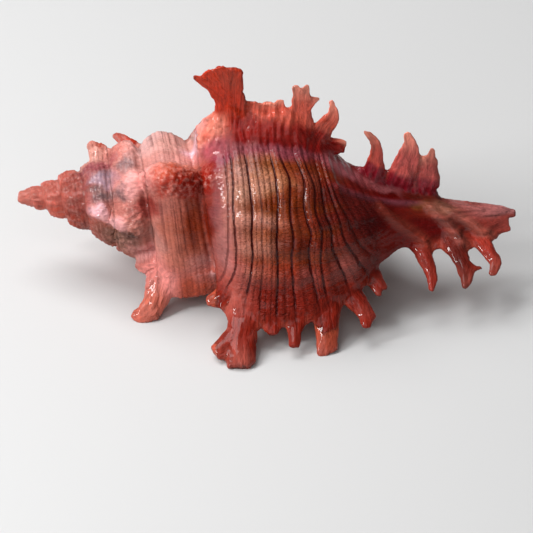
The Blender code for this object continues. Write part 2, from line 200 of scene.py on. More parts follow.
@dataclass
class Coil:
    """The coiled body: sutures, whorl outlines, canal, knobs and the varices' edges."""

    sutures: tuple[float, ...] = (0.9, 1.8, 3.7, 6.4, 10.0, 14.4, 19.4, 27.6)
    growth: float = 1.45
    fullness: float = 0.52
    spire_fullness: float = 0.038
    fuller_before: float = -0.5
    spire_profile: Outline = ((0.0, 0.76), (0.1, 0.86), (0.25, 0.95), (0.45, 1.0), (0.7, 0.98),
                              (0.88, 0.92), (0.95, 0.86), (1.0, 1.0))
    young_profile: Outline = ((0.0, 0.76), (0.12, 0.84), (0.3, 0.91), (0.5, 0.97), (0.7, 1.02),
                              (0.86, 1.0), (0.95, 0.86), (1.0, 1.0))
    body_profile: Outline = ((0.0, 0.72), (0.08, 0.80), (0.2, 0.90), (0.38, 0.97), (0.66, 1.0),
                             (0.9, 0.995), (1.18, 0.94), (1.4, 0.83), (1.58, 0.65), (1.73, 0.47),
                             (1.87, 0.34), (2.06, 0.24), (2.24, 0.19), (2.44, 0.12))
    cord_pitch: float = 0.24
    cord_height: float = 0.22
    spire_lean: float = 0.25
    lean_end: float = 18.0
    apex: tuple[float, float, float] = (0.5, 1.6, 1.8)
    canal: Outline = ((50.0, 0.0), (54.0, 3.9), (58.3, 4.1), (61.5, 3.2), (68.0, 1.9),
                      (74.5, 1.35), (78.0, 1.0), (79.2, 0.6))
    lip_edge: Outline = ((31.5, 17.8), (33.5, 21.2), (35.5, 23.0), (40.0, 23.7), (43.5, 22.9),
                         (47.5, 22.0), (51.0, 19.6), (54.0, 17.3), (56.4, 14.1), (58.0, 9.7),
                         (60.0, 7.3), (63.0, 7.7), (68.0, 8.1), (71.0, 8.4), (74.0, 7.2),
                         (76.2, 5.0), (78.6, 2.0))
    crest_edge: Outline = ((27.6, 12.8), (29.9, 17.0), (32.0, 18.8), (36.6, 19.2), (39.4, 20.2),
                           (43.6, 20.3), (46.2, 18.4), (48.3, 15.8), (49.6, 13.2), (51.0, 9.4),
                           (52.8, 7.9), (55.0, 8.4), (58.3, 7.1), (60.7, 7.4), (63.4, 8.0),
                           (66.0, 8.0), (67.0, 6.2), (67.8, 2.4))
    old_edge: Outline = ((17.4, 8.0), (18.6, 10.6), (20.6, 14.1), (23.8, 16.2), (26.7, 16.2),
                         (30.2, 15.6), (33.4, 13.7), (37.4, 9.0), (40.0, 4.0))
    knobs: Outline = ((373.0, 0.28), (447.0, 0.08), (485.0, 0.18), (590.0, 0.18), (696.0, 0.26),
                      (800.0, 0.16), (905.0, 0.12), (1010.0, 0.06), (1115.0, 0.12))
    knob_width: float = 13.0

    def ridges(self) -> tuple[tuple[float, Outline, float, float], ...]:
        """Varices of the last turn: angle, edge, slope behind and slope in front."""
        hidden = tuple((d * HIDDEN_SCALE, r * HIDDEN_SCALE) for d, r in self.crest_edge)
        return ((LIP_ANGLE, self.lip_edge, 12.0, 1.0), (CREST_ANGLE, self.crest_edge, 16.0, 16.0),
                (HIDDEN_ANGLE, hidden, 16.0, 14.0), (OLD_ANGLE, self.old_edge, 16.0, 14.0))

    def table(self) -> tuple[list[int], np.ndarray]:
        """Whole turns, and the logarithm of the suture's distance on each."""
        marks = list(self.sutures) + [self.sutures[-1] * self.growth ** step for step in (1, 2, 3)]
        return [index + 1 - len(self.sutures) for index in range(len(marks))], np.log(marks)

    def places(self, distance: np.ndarray, angle: np.ndarray, radius: np.ndarray) -> Places:
        """Finds whorl, share of the whorl and growth turn of each point."""
        turns, marks = self.table()
        angle = (angle - LIP_ANGLE) % 360.0 + LIP_ANGLE
        grown = (90.0 - angle) / 360.0
        past = np.interp(np.log(np.maximum(distance, 0.01)), marks, turns) - grown
        whorl = np.minimum(np.floor(past), 0.0)
        return Places(distance, angle, radius, whorl, past - whorl, grown + whorl)

    def full_radius(self, turn: np.ndarray) -> np.ndarray:
        """Largest radius of the whorl at a growth turn."""
        turns, marks = self.table()
        return np.exp(np.interp(turn, turns, marks)) * (
            self.fullness - self.spire_fullness * np.minimum(turn - self.fuller_before, 0.0))

    def knob_mask(self, at: Places, width: float) -> np.ndarray:
        """How much each point is on a knob of the older whorls, and by what height."""
        total = np.zeros_like(at.distance)
        for centre, height in self.knobs:
            offset = (at.turn - (90.0 - centre) / 360.0) * 360.0
            total += height * np.exp(-((offset / width) ** 2))
        return np.where(at.whorl < 0, total, 0.0)

    def plain_radius(self, at: Places) -> np.ndarray:
        """Radius of the coil without its varices."""
        full = self.full_radius(at.turn)
        spire = np.where(at.whorl < -1, read_off(self.young_profile, at.share),
                         read_off(self.spire_profile, at.share))
        outline = np.where(at.whorl < 0, spire, read_off(self.body_profile, at.share))
        radius = np.maximum(full * outline, read_off(self.canal, at.distance))
        height, middle, reach = self.apex
        radius = radius + height * np.exp(-(((at.distance - middle) / reach) ** 2))
        swell = np.sin(math.pi * np.clip(at.share, 0.0, 1.0)) ** 0.5
        radius = radius + full * self.knob_mask(at, self.knob_width) * swell
        begun = np.clip((at.share - 0.25) * 8.0, 0.0, 1.0) * np.clip((1.6 - at.share) * 8.0, 0.0, 1.0)
        cords = np.cos(2.0 * math.pi * at.share / self.cord_pitch) * self.cord_height * begun
        leaning = np.sin(math.pi * np.clip(at.distance / self.lean_end, 0.0, 1.0))
        lean = self.spire_lean * leaning * np.sin(np.radians(at.angle))
        return radius + np.where(at.whorl < 0, 0.0, cords) + lean

    def radius_of(self, at: Places) -> np.ndarray:
        """Radius of the coil with its varices."""
        radius = self.plain_radius(at)
        grown = radius
        for centre, edge, back, front in self.ridges():
            offset = (at.turn - (90.0 - centre) / 360.0) * 360.0
            slope = np.where(offset < 0, np.exp(np.minimum(offset, 0.0) / back),
                             np.clip(1.0 - offset / front, 0.0, 1.0))
            rise = np.maximum(read_off(edge, at.distance) - radius, 0.0)
            grown = np.maximum(grown, radius + rise * slope)
        return grown


@dataclass
class Fringe:
    """The leafy prongs of one varix.

    A prong is a line of points: distance from the apex, radius, half width and, where it
    leaves the plane of the varix, how far it leans towards the aperture.
    """

    angle: float
    prongs: tuple[Prong, ...]
    thinness: float = 0.55

    def matrix(self) -> Matrix:
        """Place of the varix: X along the axis, Y outwards, Z towards the aperture."""
        outwards = out_from_axis(self.angle)
        forward = Vector((1.0, 0.0, 0.0)).cross(outwards)
        columns = (Vector((1.0, 0.0, 0.0)), outwards, forward)
        turned = Matrix([[column[row] for column in columns] for row in range(3)]).to_4x4()
        middle = Vector((ORIGIN_SHIFT[0], ORIGIN_SHIFT[1], AXIS_HEIGHT))
        return Matrix.Translation(middle * MM) @ turned

    def lines(self) -> list[list[tuple[float, float, float, float]]]:
        """Each prong as points along the axis, outwards and forwards, with a half width."""
        return [[(p[0] - LENGTH / 2.0, p[1], p[3] if len(p) > 3 else 0.0, p[2]) for p in prong]
                for prong in self.prongs]

    def centre_lines(self, steps: int = 7) -> list[tuple[np.ndarray, np.ndarray]]:
        """The curves that the prongs follow.

        Args:
            steps: Points on each stretch of a curve.
        Returns:
            For each prong its points in space, in millimetres, and its half widths.
        """
        found = []
        place = np.array(self.matrix())
        for line in self.lines():
            points = np.array(line)
            rows = []
            if len(points) < 3:
                rows = [points[0] + (points[1] - points[0]) * s for s in np.linspace(0.0, 1.0, steps)]
            for index in range(1, len(points) - 1):
                begin = points[0] if index == 1 else (points[index - 1] + points[index]) / 2.0
                end = points[-1] if index == len(points) - 2 else (points[index] + points[index + 1]) / 2.0
                for s in np.linspace(0.0, 1.0, steps):
                    rows.append(begin * (1 - s) ** 2 + points[index] * 2 * s * (1 - s) + end * s ** 2)
            rows = np.array(rows)
            found.append((leaned(rows[:, :3] @ place[:3, :3].T + place[:3, 3] / MM), rows[:, 3]))
        return found


CREST_PRONGS = (
    ((34.2, 16.0, 2.5), (34.0, 20.0, 2.2), (33.2, 22.0, 1.7), (31.4, 24.1, 1.2), (28.4, 25.6, 0.5)),
    ((34.2, 18.0, 2.2), (33.8, 22.0, 1.9), (32.6, 24.3, 1.6), (30.4, 26.6, 0.9)),
    ((34.2, 16.0, 2.5), (34.0, 21.0, 2.1), (33.6, 24.4, 1.8), (32.5, 27.7, 1.0)),
    ((34.6, 16.0, 2.5), (34.7, 21.0, 1.9), (34.9, 24.4, 1.7), (35.3, 27.4, 1.2)),
    ((34.8, 19.6, 1.2), (35.8, 21.6, 0.7), (36.6, 22.4, 0.4)),
    ((37.7, 18.5, 1.2), (37.7, 20.9, 1.0)),
    ((40.2, 18.5, 1.4), (40.2, 20.8, 1.2)),
    ((42.2, 18.5, 1.1), (42.2, 21.6, 0.6)),
    ((45.8, 16.5, 1.9), (45.3, 20.6, 1.2), (44.6, 24.5, 0.7)),
    ((45.8, 16.5, 1.9), (45.8, 20.6, 1.1), (46.5, 24.6, 0.6)),
    ((45.8, 18.6, 1.3), (46.6, 21.6, 0.8), (48.6, 22.1, 0.5)),
    ((47.4, 13.5, 2.0), (49.7, 16.8, 1.6), (51.0, 18.9, 1.1), (50.2, 21.8, 0.4)),
    ((47.5, 11.5, 2.2), (50.2, 12.7, 1.8), (52.7, 12.3, 1.2)),
    ((57.0, 6.5, 2.1), (57.7, 10.5, 1.2), (57.5, 13.2, 1.0), (56.7, 14.6, 0.8), (55.4, 15.8, 0.4)),
    ((61.4, 6.0, 2.5), (62.5, 10.5, 1.9), (63.1, 12.8, 1.5), (62.4, 15.7, 0.6)),
    ((66.0, 5.0, 1.9), (66.4, 9.0, 1.4), (66.4, 12.7, 0.5)),
    ((65.4, 6.0, 1.6), (65.3, 8.5, 1.2), (65.0, 11.2, 0.5)),
)
LIP_PRONGS = (
    ((36.0, 15.5, 3.0), (33.2, 18.0, 2.2), (30.4, 18.2, 0.9)),
    ((36.8, 18.0, 2.9), (36.2, 23.5, 2.3), (35.6, 27.0, 2.5), (35.8, 30.2, 2.0)),
    ((36.2, 22.5, 2.0), (34.6, 26.0, 1.9), (31.8, 27.7, 1.5)),
    ((36.6, 24.0, 2.0), (37.3, 29.3, 1.4)),
    ((41.0, 22.0, 1.4), (41.0, 24.1, 0.9)),
    ((44.8, 20.5, 1.7), (44.6, 24.0, 1.1), (44.4, 26.2, 1.0)),
    ((49.6, 18.5, 2.2), (49.6, 23.2, 1.8, 0.8), (48.8, 26.4, 0.9, 2.2)),
    ((49.8, 18.5, 2.2), (49.9, 23.2, 1.6, 0.8), (50.6, 25.4, 0.9, 2.2)),
    ((52.2, 14.0, 2.6), (54.6, 17.6, 1.8), (56.0, 19.8, 1.4), (55.9, 22.3, 0.8)),
    ((55.0, 17.6, 1.4), (57.0, 20.6, 0.9)),
    ((54.4, 9.5, 2.6), (57.0, 12.6, 1.8), (58.2, 14.3, 1.1), (59.4, 14.9, 0.5)),
    ((57.2, 12.6, 1.5), (58.0, 16.4, 0.6)),
    ((64.2, 5.5, 1.9), (65.8, 10.0, 1.3), (66.6, 12.6, 1.1), (66.3, 15.2, 0.6)),
    ((69.8, 6.0, 2.0), (71.4, 9.8, 1.3), (72.2, 12.4, 1.3), (71.5, 14.6, 0.6)),
    ((71.4, 10.0, 1.3), (73.0, 10.9, 0.8), (74.6, 10.5, 0.4)),
    ((73.8, 4.5, 1.6), (76.2, 8.2, 1.3), (76.8, 10.0, 1.1), (75.9, 12.0, 0.7)),
    ((70.0, 0.5, 1.6), (76.0, 0.3, 1.3), (80.2, 0.2, 0.8)),
    ((70.0, 3.0, 2.0), (76.0, 3.4, 1.6), (79.2, 2.9, 0.8)),
    ((72.0, 4.6, 1.4), (77.0, 4.5, 0.8)),
)
HIDDEN_PRONGS = (
    ((31.0, 13.5, 2.6), (30.6, 19.0, 2.1), (29.4, 22.8, 1.8), (28.2, 25.5, 1.5)),
    ((31.0, 13.5, 2.6), (31.2, 19.0, 1.9), (31.6, 25.5, 1.6)),
    ((35.0, 16.5, 1.2), (35.0, 19.0, 0.8)),
    ((37.6, 16.5, 1.2), (37.6, 19.0, 0.9)),
    ((41.2, 14.5, 1.9), (41.6, 19.0, 1.6), (41.2, 22.5, 1.4), (41.0, 25.5, 1.3)),
    ((41.6, 18.0, 1.3), (43.6, 20.4, 0.8), (44.6, 20.6, 0.5)),
    ((43.0, 12.0, 1.8), (45.8, 16.0, 1.4), (46.4, 19.0, 0.6)),
    ((44.0, 9.0, 1.5), (47.5, 11.2, 1.0)),
    ((50.6, 6.0, 2.0), (51.6, 10.0, 1.3), (50.6, 14.0, 0.5)),
    ((55.0, 5.0, 1.8), (56.2, 9.5, 1.3), (55.8, 12.8, 0.5)),
)
OLD_PRONGS = (
    ((25.0, 9.0, 3.2), (21.8, 10.2, 3.2), (19.4, 9.4, 1.8)),
    ((23.8, 12.0, 3.0), (21.9, 13.6, 2.2), (21.2, 13.8, 1.5)),
    ((23.4, 13.0, 2.8), (22.4, 16.6, 2.0), (21.3, 18.3, 1.9), (19.8, 19.2, 1.4), (18.4, 19.0, 0.8)),
    ((22.2, 16.6, 1.7), (21.5, 19.4, 1.2)),
)
YOUNG_PRONGS = (
    ((13.6, 6.0, 1.9), (12.4, 8.0, 1.3), (11.6, 9.4, 0.7)),
    ((14.6, 6.4, 1.6), (13.5, 8.1, 1.2), (13.0, 8.8, 0.8)),
)
FRINGES = (
    Fringe(LIP_ANGLE, LIP_PRONGS),
    Fringe(CREST_ANGLE, CREST_PRONGS),
    Fringe(HIDDEN_ANGLE, HIDDEN_PRONGS),
    Fringe(OLD_ANGLE, OLD_PRONGS),
    Fringe(125.0, (((19.4, 9.5, 1.6), (17.4, 11.8, 1.3), (15.3, 13.1, 0.7)),)),
    Fringe(85.0, YOUNG_PRONGS),
    Fringe(230.0, (((17.0, 8.0, 1.6), (16.4, 10.8, 0.7)),)),
)


@dataclass
class NearProng:
    """For each point of the skin, the prong it lies on."""

    depth: np.ndarray
    along: np.ndarray
    run: np.ndarray
    width: np.ndarray
    across: np.ndarray
    forward: np.ndarray
    fringe: np.ndarray


@dataclass
class DarkLines:
    """The dark spiral lines of the last turn, as (angle, distance from the apex)."""

    paths: tuple[Outline, ...] = (
        ((-58, 31.0), (-54, 32.3), (-44, 33.5), (-29, 34.0), (-7, 34.0), (8, 34.0), (30, 33.4)),
        ((-58, 32.6), (-50, 33.9), (-40, 35.2), (-28, 35.3), (-6, 34.8), (14, 34.8), (30, 34.4)),
        ((-56, 36.3), (-45, 37.4), (-29, 38.0), (-18, 37.7), (-6, 37.9), (11, 37.4), (24, 36.9)),
        ((-56, 39.0), (-33, 39.6), (-21, 39.3), (-6, 39.5), (8, 39.0), (24, 38.4)),
        ((-58, 41.6), (-42, 41.9), (-20, 41.7), (0, 41.9), (15, 41.6), (28, 40.8)),
        ((-58, 44.9), (-51, 44.5), (-32, 44.0), (-18, 44.5), (-10, 43.8), (-3, 43.8), (16, 43.8),
         (27, 42.4)),
        ((-59, 49.0), (-48, 47.7), (-35, 46.9), (-27, 46.7), (-18, 47.4), (-12, 46.6), (0, 45.9),
         (13, 46.2), (23, 45.4), (34, 44.3)),
        ((-59, 50.5), (-49, 49.2), (-33, 48.6), (-15, 49.0), (-6, 47.8), (10, 47.8), (27, 46.2)),
        ((-60, 54.0), (-49, 52.7), (-37, 51.5), (-29, 50.4), (-16, 50.4), (-6, 49.3), (4, 49.0),
         (22, 48.3)),
        ((-55, 56.6), (-41, 54.7), (-33, 53.8), (-23, 52.3), (-9, 51.6), (1, 50.7), (19, 49.4)),
        ((-55, 59.0), (-34, 55.4), (-18, 53.6), (-6, 52.7), (1, 51.6), (12, 50.6), (22, 50.0)),
    )
    ink: tuple[float, ...] = (0.6, 0.9, 1.0, 0.45, 1.0, 1.0, 1.0, 0.85, 0.9, 0.8, 0.6)
    threads: tuple[float, ...] = (0.0, 1.0, 4.0, 6.0, 9.0, 11.0, 13.0, 15.0, 17.0, 19.0, 20.0)
    half_width: float = 0.16
    young_shares: tuple[float, ...] = (0.27, 0.50, 0.61, 0.74)

    def measure(self, coil: Coil, at: Places) -> tuple[np.ndarray, np.ndarray, np.ndarray, np.ndarray]:
        """Counts each point's place among the lines.

        Args:
            coil: The coiled body.
            at: Places of the points.
        Returns:
            Line count (a line at each whole number), half width in that count, ink, and
            the number of fine threads counted from the shoulder.
        """
        angles = np.arange(LIP_ANGLE, LIP_ANGLE + 362.0, 2.0)
        rows = []
        for path in self.paths:
            newest = path[-1]
            older = newest[1] * coil.growth ** ((newest[0] - angles) / 360.0)
            rows.append(np.where(angles > newest[0], older,
                                 np.interp(angles, [p[0] for p in path], [p[1] for p in path])))
        grid = np.array(rows)
        wide = np.hanning(9)[1:-1]
        padded = np.pad(grid, ((0, 0), (3, 3)), mode="edge")
        grid = np.array([np.convolve(row, wide / wide.sum(), mode="valid") for row in padded])
        slot = ((at.angle - LIP_ANGLE) % 360.0) / 2.0
        low = np.clip(slot.astype(int), 0, len(angles) - 2)
        part = slot - low
        marks = grid[:, low] * (1.0 - part) + grid[:, low + 1] * part
        count = np.minimum(at.distance - marks[0], 0.0) + np.clip(at.distance - marks[-1], 0.0, 1.0)
        gap = np.ones_like(count)
        for index in range(len(self.paths) - 1):
            step = marks[index + 1] - marks[index]
            count += np.clip((at.distance - marks[index]) / step, 0.0, 1.0)
            gap = np.where((at.distance > marks[index]) & (at.distance <= marks[index + 1]), step, gap)
        nearest = np.clip(np.round(count), 0, len(self.ink) - 1).astype(int)
        ink = np.array(self.ink)[nearest] * (at.whorl == 0) * smooth_step(-0.9, -0.5, count)
        ink = ink * smooth_step(0.9, 0.6, count - len(self.ink) + 1.0)
        thread = np.interp(count, np.arange(len(self.threads)), self.threads)
        thread = np.where(count < 0, count * 1.1, thread)
        beyond = np.maximum(at.distance - marks[-1], 0.0)
        thread = thread + beyond * 0.8
        ink = ink * smooth_step(58.0, 55.0, at.distance)
        young = at.whorl == -1
        older = np.interp(at.share, self.young_shares, np.arange(4))
        older_gap = np.interp(at.share, self.young_shares, (2.6, 2.1, 1.5, 1.5))
        count = np.where(young, older, count)
        gap = np.where(young, older_gap, gap)
        near_line = np.abs(older - np.round(older)) < 0.35
        edge = smooth_step(0.2, 0.24, at.share) * smooth_step(0.8, 0.76, at.share) * near_line
        ink = np.where(young, edge * 0.6 * smooth_step(-52.0, -34.0, at.angle), ink)
        thread = np.where(at.whorl < 0, at.share * np.where(young, 11.0, 7.0), thread)
        return count, self.half_width / gap, ink, thread


class Zone(Enum):
    """What a patch of colour may lie on."""

    ANY = "any"
    WHORL = "whorl"


@dataclass(frozen=True)
class Spot:
    """A soft oval on the coil: its middle, and its reach along and round the axis."""

    steepness: ClassVar[float] = 1.8
    distance: float
    angle: float
    length: float
    spread: float

    def mask(self, distance: np.ndarray, angle: np.ndarray) -> np.ndarray:
        """How much each place belongs to the oval."""
        turned = (angle - self.angle + 180.0) % 360.0 - 180.0
        return np.exp(-(((distance - self.distance) / self.length) ** 2
                        + (turned / self.spread) ** 2) ** self.steepness)


@dataclass(frozen=True)
class Patch(Spot):
    """A soft patch of colour with its strength."""

    colour: str
    strength: float = 1.0
    zone: Zone = Zone.ANY


@dataclass(frozen=True)
class Lump(Spot):
    """A rounded lump of scales with its height."""

    steepness: ClassVar[float] = 1.4
    height: float


# painted highlight: pale lilac-white for the shine on the smooth shoulder
LILAC_WHITE_HIGHLIGHT = "#f0c2cc"
GREY_MAUVE = "#765456"
GREY_LILAC = "#866a6c"
GREY_BROWN = "#784e40"
BLOOD_RED = "#8a1504"
CRIMSON = "#7c0602"
OCHRE_DEEP = "#883004"
FROND_RED = "#ae2a10"
# darker red of the prongs on the lower side, partly painted shade
FROND_SHADED_DARK = "#7c1c0e"
WINE = "#780c1c"
LINE_BROWN = "#4c0805"

# The skin's colour along the axis, seen from above and from below; the lower row runs mostly darker, partly
# as painted shade
UPPER_COLOURS = ((0.0, "#f28c7c"), (4.0, "#ec7a6a"), (8.0, "#dc6c5c"), (11.0, "#ac544c"), (20.0, "#d08478"),
                 (28.0, "#a84c38"), (33.0, "#9a5650"), (36.0, "#c07a68"), (40.0, "#b66c44"),
                 (43.0, "#963f1c"), (46.0, "#80280c"), (49.0, "#781c0a"), (53.0, "#741a14"),
                 (60.0, "#680805"), (66.0, "#74200f"), (72.0, "#a85048"), (78.0, "#c07472"))
LOWER_COLOURS_WITH_SHADE = ((0.0, "#ee8070"), (6.0, "#e06450"), (9.5, "#a8402f"), (18.0, "#a05848"), (24.0, "#c4705f"),
                 (29.0, "#a85038"), (33.0, "#ac5850"), (37.0, "#ac4e3c"), (42.0, "#94301a"),
                 (47.0, "#8c2c18"), (52.0, "#8a3022"), (57.0, "#741204"), (66.0, "#640402"),
                 (72.0, "#7e2014"), (79.0, "#984038"))

PATCHES = (
    # young whorls
    Patch(9.5, 30, 2.4, 50, "#a84c42", 0.7),
    Patch(9.5, -20, 2.4, 30, "#8e3a30", 0.8),
    Patch(12.0, 80, 2.5, 22, "#dc9a8c", 0.9),
    Patch(12.8, 54, 3.0, 15, "#9a4850", 1.0),
    Patch(13.6, 28, 2.6, 13, "#ae8c9a", 1.0),
    Patch(13.8, 6, 2.7, 11, GREY_MAUVE, 1.0),
    Patch(17.8, 43, 1.6, 14, GREY_LILAC, 0.9),
    Patch(16.8, 9, 1.2, 9, GREY_MAUVE, 1.0),
    Patch(13.2, -17, 1.8, 12, "#e8b2ba", 1.0),
    Patch(15.6, -27, 2.0, 9, "#dc9c9c", 1.0),
    Patch(18.2, -12, 1.6, 9, "#9c564e", 1.0),
    Patch(16.2, -52, 3.4, 15, GREY_BROWN, 1.0),
    Patch(18.4, -37, 2.0, 11, "#55281a", 1.0),
    Patch(18.6, 18, 1.9, 13, "#e8a09c", 1.0),
    Patch(19.6, 30, 1.4, 7, "#e8aaa4", 0.9),
    # the whorl before the last
    Patch(21.5, 72, 3.6, 26, "#e8b0aa", 1.0, Zone.WHORL),
    Patch(25.6, 64, 3.6, 20, "#e2a196", 1.0, Zone.WHORL),
    Patch(24.5, 37, 5.0, 10, "#dc958c", 1.0),
    Patch(25.2, 27, 5.4, 6, "#cc7462", 1.0),
    Patch(21.0, 18, 2.2, 12, "#ec9c96", 1.0),
    Patch(25.0, 18, 4.4, 7, "#b44a34", 1.0),
    Patch(25.0, 9, 3.6, 7, "#982410", 1.0),
    Patch(28.4, 12, 3.0, 10, BLOOD_RED, 1.0),
    Patch(21.2, -6, 2.2, 9, "#8a2c26", 0.9),
    Patch(22.0, -33, 2.6, 15, "#b87a70", 0.8, Zone.WHORL),
    Patch(25.0, -25, 2.2, 16, "#b4604c", 0.9, Zone.WHORL),
    Patch(28.2, -22, 1.8, 22, "#8c3216", 1.0, Zone.WHORL),
    Patch(30.8, -18, 1.1, 26, "#741a04", 1.0, Zone.WHORL),
    # the smooth ramp of the shoulder
    Patch(30.8, 18, 1.7, 13, BLOOD_RED, 1.0, Zone.WHORL),
    Patch(32.1, -3, 1.2, 18, "#7e3c3c", 1.0, Zone.WHORL),
    Patch(32.9, -36, 1.6, 14, "#8c4c48", 1.0, Zone.WHORL),
    Patch(35.2, -48, 2.6, 14, "#a45652", 0.8, Zone.WHORL),
    Patch(33.8, -24, 1.3, 34, "#a2605a", 0.75, Zone.WHORL),
    Patch(30.9, -60, 1.6, 8, "#e0a8a6", 1.0),
    Patch(21.4, -62, 3.2, 14, "#dc9490", 0.8),
    Patch(29.2, -58, 2.4, 12, "#cc8680", 0.6),
    # painted highlight: a pale lilac-white patch where the smooth shoulder shines
    Patch(28.7, 50, 2.2, 9, LILAC_WHITE_HIGHLIGHT, 1.0),
    Patch(31.6, 40, 2.6, 6, "#c25a64", 0.9),
    Patch(33.4, 28, 2.4, 6, "#943a50", 0.9),
    # the last turn
    Patch(36.4, 19, 2.4, 7, "#cc9080", 0.8, Zone.WHORL),
    Patch(36.6, 4, 2.6, 9, "#d89880", 0.9, Zone.WHORL),
    Patch(39.2, 13, 2.0, 6, "#d8967c", 0.8, Zone.WHORL),
    Patch(41.0, 14, 3.4, 7, "#b8724c", 0.8, Zone.WHORL),
    Patch(42.4, -1, 5.6, 6.0, OCHRE_DEEP, 1.0, Zone.WHORL),
    Patch(38.4, -12, 4.8, 5.0, "#c07464", 0.8, Zone.WHORL),
    Patch(45.5, -1, 2.8, 6, "#641402", 0.8, Zone.WHORL),
    Patch(42.5, -17, 3.0, 4.0, "#964230", 0.7, Zone.WHORL),
    Patch(44.5, -25, 4.6, 6, "#661803", 0.9, Zone.WHORL),
    Patch(46.5, 15, 2.4, 7, "#8a3c28", 0.8, Zone.WHORL),
    Patch(46.5, -44, 1.6, 7, "#b0605a", 0.8, Zone.WHORL),
    Patch(50.5, -4, 2.2, 16, "#661208", 0.8, Zone.WHORL),
    Patch(52.8, -40, 2.2, 9, "#9c5048", 0.8, Zone.WHORL),
    Patch(41.0, 35, 9.5, 7.5, "#8e3e4a", 0.95),
    Patch(52.4, 38, 3.2, 11, "#cc7078", 0.8),
    Patch(58.6, 34, 3.0, 10, "#cc7074", 0.7),
    # the canal
    Patch(58.0, -16, 3.4, 14, "#560201", 1.0, Zone.WHORL),
    Patch(66.0, -32, 6.0, 14, "#5c0201", 1.0, Zone.WHORL),
    Patch(64.6, 9, 1.8, 12, "#80461e", 0.9),
    Patch(68.6, 8, 2.0, 16, "#a86850", 0.8),
)


LUMPS = (
    Lump(21.6, 19, 3.0, 10, 0.9),
    Lump(26.4, 17, 5.2, 11, 1.1),
    Lump(18.6, 17, 2.2, 14, 1.0),
    Lump(13.2, -17, 1.8, 12, 0.8),
    Lump(15.6, -25, 2.2, 9, 0.8),
    Lump(18.6, -12, 1.6, 8, 0.4),
    Lump(30.4, 47, 2.8, 8, 0.3),
    Lump(17.0, 63, 2.4, 12, 0.4),
    Lump(16.6, -62, 2.2, 20, 0.5),
)


# Where growth paused on the last turn, in degrees of growth: place, swell's height and width
PAUSE_SWELLS = ((76.0, 0.2, 5.0), (101.0, 0.26, 4.0), (116.0, 0.2, 3.6), (131.0, 0.22, 3.4),
                (144.0, 0.14, 4.0))
# where the brown bands and the paler bands lie; the paler bands are partly painted highlights on the swells
PAUSE_BANDS_AND_HIGHLIGHTS = (77.0, 101.0, 116.0, 131.0)


@dataclass(frozen=True)
class Rib:
    """A narrow rib on the coil, as points of distance and angle."""

    path: Outline
    height: float
    width: float
    colour: str

    def share(self, coil: Coil, points: np.ndarray, places: Places) -> np.ndarray:
        """How much each point lies on the rib.

        Args:
            coil: The coiled body that carries the rib.
            points: Points of the skin, in millimetres.
            places: Their places on the coil.
        Returns:
            Values from 0 to 1.
        """
        run = np.linspace(0.0, 1.0, 60)
        knots = np.linspace(0.0, 1.0, len(self.path))
        distance = np.interp(run, knots, [p[0] for p in self.path])
        angle = np.interp(run, knots, [p[1] for p in self.path])
        radius = coil.radius_of(coil.places(distance, angle, np.zeros_like(run)))
        line = leaned(in_space(distance, np.radians(UP_ANGLE - angle), radius))
        share = np.zeros(len(points))
        near = (places.distance > distance.min() - 3.0) & (places.distance < distance.max() + 3.0)
        gap = np.linalg.norm(points[near][:, None] - line[None], axis=2)
        best = gap.argmin(axis=1)
        ends = np.minimum(1.0, np.minimum(run, 1.0 - run)[best] * 6.0 + 0.15)
        share[near] = np.exp(-(gap.min(axis=1) / self.width) ** 2) * ends
        return share


RIBS = (
    Rib(((57.0, 9), (59.3, -9), (62.3, -32), (64.6, -48), (66.3, -58)), 0.8, 0.8, "#984636"),
    Rib(((65.3, 14), (67.7, -15), (70.0, -45), (71.9, -58)), 0.8, 0.75, "#b0685a"),
    Rib(((67.5, 12), (71.5, -25), (74.2, -48), (76.5, -58)), 0.7, 0.7, "#b06858"),
    Rib(((69.0, 25), (73.0, 10), (78.0, -5)), 0.3, 0.5, "#b46a66"),
    Rib(((50.3, 15), (53.0, 12), (57.0, 9), (61.5, 10), (66.0, 16)), 0.3, 0.45, "#8a4a58"),
)


